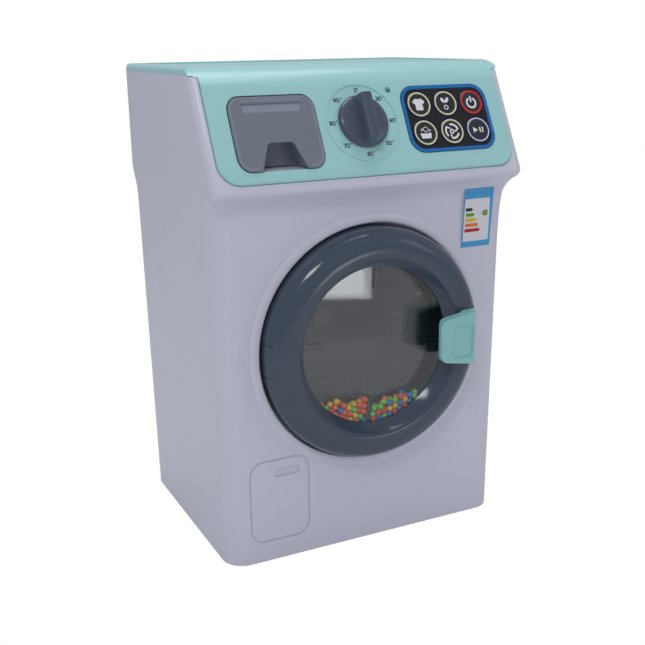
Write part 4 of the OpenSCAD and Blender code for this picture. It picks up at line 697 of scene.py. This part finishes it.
@dataclass
class Keypad:
    """The prints on the keypad: the plate's blue border and the six keys' rings and symbols."""

    centre_u: float = 52.0
    centre_v: float = 30.3
    width: float = 56.7
    height: float = 39.7
    corner: float = 9.0
    pitch_u: float = 17.5
    pitch_v: float = 16.9
    cap_r: float = 7.7
    dish_r: float = 60.0
    cap_top: float = 0.8
    dish_depth: float = 0.4
    chamfer: float = 0.5
    plate_proud: float = 0.3
    border_w: float = 1.9
    border_in: float = 0.15

    def border(self) -> None:
        """Prints the blue border of the plate."""
        half_u, half_v = self.width / 2 - self.border_in, self.height / 2 - self.border_in
        u0, u1 = self.centre_u - half_u, self.centre_u + half_u
        v0, v1 = self.centre_v - half_v, self.centre_v + half_v
        art = Artwork("keypad_border", lambda u, v, n: FASCIA.point(u, v, self.plate_proud + n), "cabinet_body")
        w = self.border_w
        art.add(Ink.BLUE, 0, *band(round_rect(u0, u1, v0, v1, self.corner),
                                   round_rect(u0 + w, u1 - w, v0 + w, v1 - w, self.corner - w)))
        art.build()

    def cap(self, u: float, v: float) -> Callable[[float, float, float], Vector]:
        """The surface of one key's dished cap.

        Args:
            u: Middle of the key across.
            v: Middle of the key up.

        Returns:
            A function from a place on the cap and a height to a point.
        """
        def surface(x: float, y: float, n: float) -> Vector:
            """A point over the dished cap.

            Args:
                x: Across, from the middle of the key.
                y: Up, from the middle of the key.
                n: Height above the cap.

            Returns:
                The point in metres.
            """
            r = math.hypot(x, y)
            dish = self.cap_top - self.dish_depth + self.dish_r - math.sqrt(self.dish_r ** 2 - r * r)
            edge = self.cap_top - max(0.0, r - (self.cap_r - self.chamfer))
            return FASCIA.point(u + x, v + y, min(dish, edge, self.cap_top) + n)

        return surface

    def key(self, name: str, column: int, row: int, rings: tuple, draw: Callable[[Artwork], None]) -> None:
        """Prints one key.

        Args:
            name: Name of the key.
            column: Column from 0.
            row: Row from 0, the upper one.
            rings: Inks of the rings with their outer and inner radius.
            draw: Draws the symbol.
        """
        u = self.centre_u + (column - 1) * self.pitch_u
        v = self.centre_v + (0.5 - row) * self.pitch_v
        art = Artwork(name + "_print", self.cap(u, v), name + "_button")
        for ink, outer, inner in rings:
            art.add(ink, 0, *band(circle(0, 0, outer, 64), circle(0, 0, inner, 64)))
        draw(art)
        art.build(cell=0.8)

    @staticmethod
    def shirt(art: Artwork) -> None:
        """Draws a shirt in outline.

        Args:
            art: The key's print.
        """
        half = [(1.0, 3.2), (2.2, 2.9), (3.6, 1.6), (2.8, 0.5), (2.0, 1.1), (2.0, -3.2), (0.0, -3.2)]
        line = [(0, 2.5)] + half + [(-x, y) for x, y in reversed(half)] + [(0, 2.5)]
        art.add(Ink.WHITE, 0, *stroke(line, 0.6))
        art.add(Ink.WHITE, 0, *stroke([(0, -0.2), (1.1, -1.9), (-1.1, -1.9), (0, -0.2)], 0.4))

    @staticmethod
    def leaf(art: Artwork) -> None:
        """Draws a pair of leaves over a drop.

        Args:
            art: The key's print.
        """
        for s in (-1, 1):
            art.add(Ink.WHITE, 0, [(0, 0.2), (s * 1.9, 0.9), (s * 2.7, 2.2), (s * 2.3, 3.6), (s * 1.1, 3.1),
                                   (s * 0.2, 2.0)][::s])
        art.add(Ink.WHITE, 0, *band(circle(0, -2.4, 1.5, 32), circle(0, -2.4, 0.95, 32)))

    @staticmethod
    def power(art: Artwork) -> None:
        """Draws the sign of a switch.

        Args:
            art: The key's print.
        """
        art.add(Ink.WHITE, 0, *stroke(circle(0, -0.4, 2.9, 28, 122, 418), 1.15))
        art.add(Ink.WHITE, 0, *stroke([(0, 3.4), (0, 0.4)], 1.0))

    @staticmethod
    def basket(art: Artwork) -> None:
        """Draws a wash tub with bubbles.

        Args:
            art: The key's print.
        """
        tub = [(-2.9, -3.4), (2.9, -3.4), (3.6, -0.4), (2.4, 0.0), (1.2, -0.7), (0.0, 0.1), (-1.2, -0.7),
               (-2.4, 0.0), (-3.6, -0.4)]
        art.add(Ink.WHITE, 0, tub)
        for x, y, r in ((0.5, 2.0, 1.6), (-2.0, 1.9, 0.8), (2.9, 1.3, 0.6)):
            art.add(Ink.WHITE, 0, *band(circle(x, y, r, 28), circle(x, y, r - 0.35, 28)))

    @staticmethod
    def spin(art: Artwork) -> None:
        """Draws a three-armed swirl.

        Args:
            art: The key's print.
        """
        for i in range(3):
            art.add(Ink.WHITE, 0, *stroke(circle(0, 0, 4.1, 14, 20 + 120 * i, 95 + 120 * i), 1.15))
            a = math.radians(20 + 120 * i)
            tip = (4.1 * math.cos(a), 4.1 * math.sin(a))
            art.add(Ink.WHITE, 0, *stroke([tip, (2.2 * math.cos(a - 0.35), 2.2 * math.sin(a - 0.35))], 0.9))
        art.add(Ink.WHITE, 0, *band(circle(0, 0, 1.5, 28), circle(0, 0, 0.7, 28)))

    @staticmethod
    def play(art: Artwork) -> None:
        """Draws the sign for play and pause.

        Args:
            art: The key's print.
        """
        art.add(Ink.WHITE, 0, [(-3.2, -1.7), (0.1, 0.0), (-3.2, 1.7)])
        for x in (1.4, 3.1):
            art.add(Ink.WHITE, 0, [(x - 0.42, -1.6), (x + 0.42, -1.6), (x + 0.42, 1.6), (x - 0.42, 1.6)])

    def build(self) -> None:
        """Prints the border and all keys."""
        self.border()
        pale = ((Ink.WHITE, 7.15, 6.6), (Ink.LIME, 6.6, 6.15))
        self.key("shirt", 0, 0, pale, self.shirt)
        self.key("leaf", 1, 0, pale, self.leaf)
        self.key("power", 2, 0, ((Ink.RED, 7.15, 5.95),), self.power)
        self.key("basket", 0, 1, pale, self.basket)
        self.key("spin", 1, 1, pale, self.spin)
        self.key("play", 2, 1, ((Ink.WHITE, 7.15, 6.6), (Ink.DEEP_BLUE, 6.6, 6.1)), self.play)
        log.info("keypad printed")


@dataclass
class EnergyLabel:
    """The energy label's print: a blue frame, five bars and a marker, without any words."""

    x0: float = 60.6
    x1: float = 80.8
    z0: float = 173.7
    z1: float = 208.8
    side_border: float = 1.1
    low_border: float = 3.4
    top_border: float = 6.2
    first_bar: float = 12.6
    bar_pitch: float = 3.1

    @staticmethod
    def panel_y(z: float) -> float:
        """Depth of the front panel at a height.

        Args:
            z: Height in millimetres.

        Returns:
            Local depth of the panel.
        """
        r, z0, lean = 240.0, 175.0, math.radians(7)
        if z <= z0:
            return 0.0
        top = z0 + r * math.sin(lean)
        if z <= top:
            return -r * (1 - math.sqrt(1 - ((z - z0) / r) ** 2))
        a = math.asin(min(1.0, math.sin(lean) + (z - top) / 13.0))
        return -r * (1 - math.cos(lean)) + 13.0 * (math.cos(a) - math.cos(lean))

    def surface(self, x: float, z: float, n: float) -> Vector:
        """A point on the label.

        Args:
            x: Across.
            z: Height.
            n: Height above the film.

        Returns:
            The point in metres.
        """
        return Vector((x, FRONT_Y + self.panel_y(z) - 0.33 - n, z)) * MM

    def build(self) -> None:
        """Prints the label."""
        art = Artwork("energy_print", self.surface, "cabinet_body")
        x0, x1, z0, z1 = self.x0 + 0.1, self.x1 - 0.1, self.z0 + 0.1, self.z1 - 0.1
        art.add(Ink.SKY, 0, [(x0, z0), (x1, z0), (x1, z1), (x0, z1)])
        art.add(Ink.PAPER, 1, round_rect(x0 + self.side_border, x1 - self.side_border,
                                            z0 + self.low_border, z1 - self.top_border, 0.8, 5))
        bars = ((Ink.FOREST, 5.2), (Ink.LEAF, 6.6), (Ink.YELLOW, 8.2), (Ink.ORANGE, 9.6), (Ink.SCARLET, 11.0))
        for i, (ink, length) in enumerate(bars):
            z = z1 - self.first_bar - self.bar_pitch * i
            art.add(ink, 2, [(x0 + 2, z - 1), (x0 + 2 + length - 1, z - 1), (x0 + 2 + length, z),
                             (x0 + 2 + length - 1, z + 1), (x0 + 2, z + 1)])
        z = z1 - 15.2
        art.add(Ink.LEAF, 2, [(x1 - 6.6, z), (x1 - 5.0, z - 1.7), (x1 - 2.4, z - 1.7), (x1 - 2.4, z + 1.7),
                              (x1 - 5.0, z + 1.7)])
        art.build()
        log.info("energy label printed")


@dataclass
class Beads:
    """The coloured beads between the window and the bead pan."""

    radius: float = 1.83
    count: int = 92
    front_y: float = -5.4
    back_y: float = 1.2
    chamber_r: float = 48.2
    rib_turn: float = 5.0
    rib_t: float = 2.2
    rib_in: float = 32.2
    steps: int = 260
    settled_after: int = 200
    fall: float = 0.12
    last_fall: float = 0.02

    def settle(self) -> list[Vector]:
        """Lets the beads fall into a heap either side of the lowest rib.

        Returns:
            Their centres, local to the middle of the door, in millimetres.
        """
        dice = random.Random(7)
        r = self.radius
        y0, y1 = self.front_y + r + 0.05, self.back_y - r - 0.05
        spots = []
        for i in range(self.count):
            side = 1 if i % 2 else -1
            spots.append(Vector((side * dice.uniform(4, 30), dice.uniform(y0, y1), dice.uniform(-44, -30))))
        turn = math.radians(self.rib_turn)
        rib = Vector((math.sin(-turn), 0, -math.cos(turn)))
        side = Vector((math.cos(turn), 0, -math.sin(turn)))
        for step in range(self.steps):
            pull = self.fall if step < self.settled_after else self.last_fall
            for p in spots:
                p.z -= pull
            for i, p in enumerate(spots):
                for q in spots[i + 1:]:
                    if abs(p.x - q.x) < 2 * r and abs(p.z - q.z) < 2 * r:
                        gap = p - q
                        distance = gap.length
                        if 1e-6 < distance < 2 * r:
                            push = gap * ((2 * r - distance) / distance / 2)
                            p += push
                            q -= push
            for p in spots:
                p.y = min(max(p.y, y0), y1)
                along, across = p.dot(rib), p.dot(side)
                room = self.rib_t / 2 + r + 0.05
                if along > self.rib_in and abs(across) < room:
                    p += side * (math.copysign(room, across) - across)
                flat = math.hypot(p.x, p.z)
                limit = self.chamber_r - r - 0.1
                if flat > limit:
                    p.x *= limit / flat
                    p.z *= limit / flat
        return spots

    def build(self) -> None:
        """Builds the beads in their four colours as one piece."""
        dice = random.Random(11)
        colours = list(BeadColour)
        shares = [c.value[1] for c in colours]
        bm = bmesh.new()
        for centre in self.settle():
            place = Matrix.Translation((Vector((0, FRONT_Y, AXIS_Z)) + centre) * MM)
            made = bmesh.ops.create_icosphere(bm, subdivisions=3, radius=self.radius * MM, matrix=place)
            slot = dice.choices(range(len(colours)), shares)[0]
            for face in {f for v in made["verts"] for f in v.link_faces}:
                face.material_index = slot
                face.smooth = True
        mesh = bpy.data.meshes.new("loose_beads")
        bm.to_mesh(mesh)
        bm.free()
        obj = bpy.data.objects.new("loose_beads", mesh)
        bpy.context.scene.collection.objects.link(obj)
        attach(obj, "door")
        give(obj, *[Finish("bead_" + c.name.lower(), linear(*c.value[0]), roughness=0.2, edge_mm=0.1) for c in colours])
        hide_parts("beads")
        log.info("%d beads built", self.count)


@dataclass(frozen=True)
class Softbox:
    """A rectangular studio lamp."""

    name: str
    place: tuple[float, float, float]
    target: tuple[float, float, float]
    size: tuple[float, float]
    power: float

    def build(self) -> None:
        """Sets the lamp up, turned to its target."""
        data = bpy.data.lights.new(self.name, "AREA")
        data.shape = "RECTANGLE"
        data.size, data.size_y = self.size
        data.energy = self.power
        lamp = bpy.data.objects.new(self.name, data)
        lamp.location = self.place
        lamp.rotation_euler = (Vector(self.target) - Vector(self.place)).to_track_quat("-Z", "Y").to_euler()
        bpy.context.scene.collection.objects.link(lamp)


SOFTBOXES = (
    Softbox("key_softbox", (-0.55, -0.75, 1.05), (0, -0.02, 0.16), (0.36, 0.22), 2.6),
    Softbox("fill_softbox", (0.9, -0.8, 0.6), (0, 0, 0.14), (0.3, 0.5), 0.4),
    Softbox("top_softbox", (0.05, 0.15, 1.2), (0, 0, 0.2), (0.8, 0.6), 4.2),
    Softbox("window_card", (0.18, -0.45, 0.06), (0, -0.06, 0.125), (0.055, 0.04), 0.02),
)


@dataclass
class Studio:
    """Pale floor, soft lights and the camera."""

    floor_half: float = 3.0
    world_colour: tuple = (0.8, 0.81, 0.86, 1)
    world_strength: float = 0.5
    camera_place: tuple = (-0.26154, -0.53036, 0.29330)
    camera_forward: tuple = (0.4214, 0.8632, -0.278)
    camera_right: tuple = (0.8986, -0.4387, 0)
    camera_roll: float = -0.75
    lens_mm: float = 54.85

    def floor(self) -> None:
        """Lays the pale floor."""
        size = self.floor_half
        mesh = bpy.data.meshes.new("studio_floor")
        mesh.from_pydata([(-size, -size, 0), (size, -size, 0), (size, size, 0), (-size, size, 0)], [], [[0, 1, 2, 3]])
        floor = bpy.data.objects.new("studio_floor", mesh)
        bpy.context.scene.collection.objects.link(floor)
        floor.data.materials.append(self.paper())

    @staticmethod
    def paper() -> bpy.types.Material:
        """The floor's pale paper, plain white where the camera looks at it.

        Returns:
            The material.
        """
        g = Graph("studio_paper")
        rough = g.spread(g.noise(30), 0.75, 0.85)
        paper = g.add("ShaderNodeBsdfPrincipled", Base_Color=(0.86, 0.86, 0.87, 1), Roughness=rough)
        seen = g.add("ShaderNodeEmission", Color=(1, 1, 1, 1), Strength=1.0)
        path = g.add("ShaderNodeLightPath")
        mix = g.add("ShaderNodeMixShader")
        g.tree.links.new(path.outputs["Is Camera Ray"], mix.inputs[0])
        g.tree.links.new(paper.outputs[0], mix.inputs[1])
        g.tree.links.new(seen.outputs[0], mix.inputs[2])
        g.tree.links.new(mix.outputs[0], g.out.inputs["Surface"])
        return g.material

    def world(self) -> None:
        """Sets a soft surrounding light and a white background."""
        world = bpy.data.worlds.new("studio_world")
        bpy.context.scene.world = world
        world.use_nodes = True
        tree = world.node_tree
        tree.nodes.clear()
        out = tree.nodes.new("ShaderNodeOutputWorld")
        soft = tree.nodes.new("ShaderNodeBackground")
        soft.inputs["Color"].default_value = self.world_colour
        soft.inputs["Strength"].default_value = self.world_strength
        seen = tree.nodes.new("ShaderNodeBackground")
        seen.inputs["Color"].default_value = (1, 1, 1, 1)
        seen.inputs["Strength"].default_value = 1.0
        mix = tree.nodes.new("ShaderNodeMixShader")
        path = tree.nodes.new("ShaderNodeLightPath")
        tree.links.new(path.outputs["Is Camera Ray"], mix.inputs[0])
        tree.links.new(soft.outputs[0], mix.inputs[1])
        tree.links.new(seen.outputs[0], mix.inputs[2])
        tree.links.new(mix.outputs[0], out.inputs["Surface"])

    def camera(self) -> None:
        """Places the camera where the photograph was taken."""
        forward = Vector(self.camera_forward).normalized()
        right = Vector(self.camera_right).normalized()
        up = right.cross(forward)
        roll = math.radians(self.camera_roll)
        right, up = right * math.cos(roll) + up * math.sin(roll), up * math.cos(roll) - right * math.sin(roll)
        data = bpy.data.cameras.new("camera")
        data.lens = self.lens_mm
        data.sensor_width = 36.0
        data.dof.use_dof = False
        cam = bpy.data.objects.new("camera", data)
        turn = Matrix((right, up, -forward)).transposed().to_4x4()
        cam.matrix_world = Matrix.Translation(self.camera_place) @ turn
        bpy.context.scene.collection.objects.link(cam)
        bpy.context.scene.camera = cam

    def build(self) -> None:
        """Builds the whole studio."""
        self.floor()
        self.world()
        for softbox in SOFTBOXES:
            softbox.build()
        self.camera()
        bpy.context.scene.view_settings.view_transform = "Standard"
        log.info("studio built")


def dress_frame() -> None:
    """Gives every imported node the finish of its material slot."""
    for part in frame["record"]["subparts"]:
        obj = frame["nodes"].get(part["node"])
        if obj is None:
            continue
        finish = SLOT_FINISH.get(part.get("material_slot"), PALE)
        if part["node"] == "dial_knob":
            finish = KNOB
        give(obj, finish)
        smooth(obj)
    log.info("%d packed nodes dressed", len(frame["nodes"]))


def main() -> None:
    """Builds the pieces in order and reports each one."""
    logging.basicConfig(level=logging.INFO, format="%(message)s")
    dress_frame()
    Console().build()
    SoapDrawer().build()
    Knob().build()
    Keypad().build()
    EnergyLabel().build()
    Beads().build()
    Studio().build()


if __name__ == "__main__":
    main()
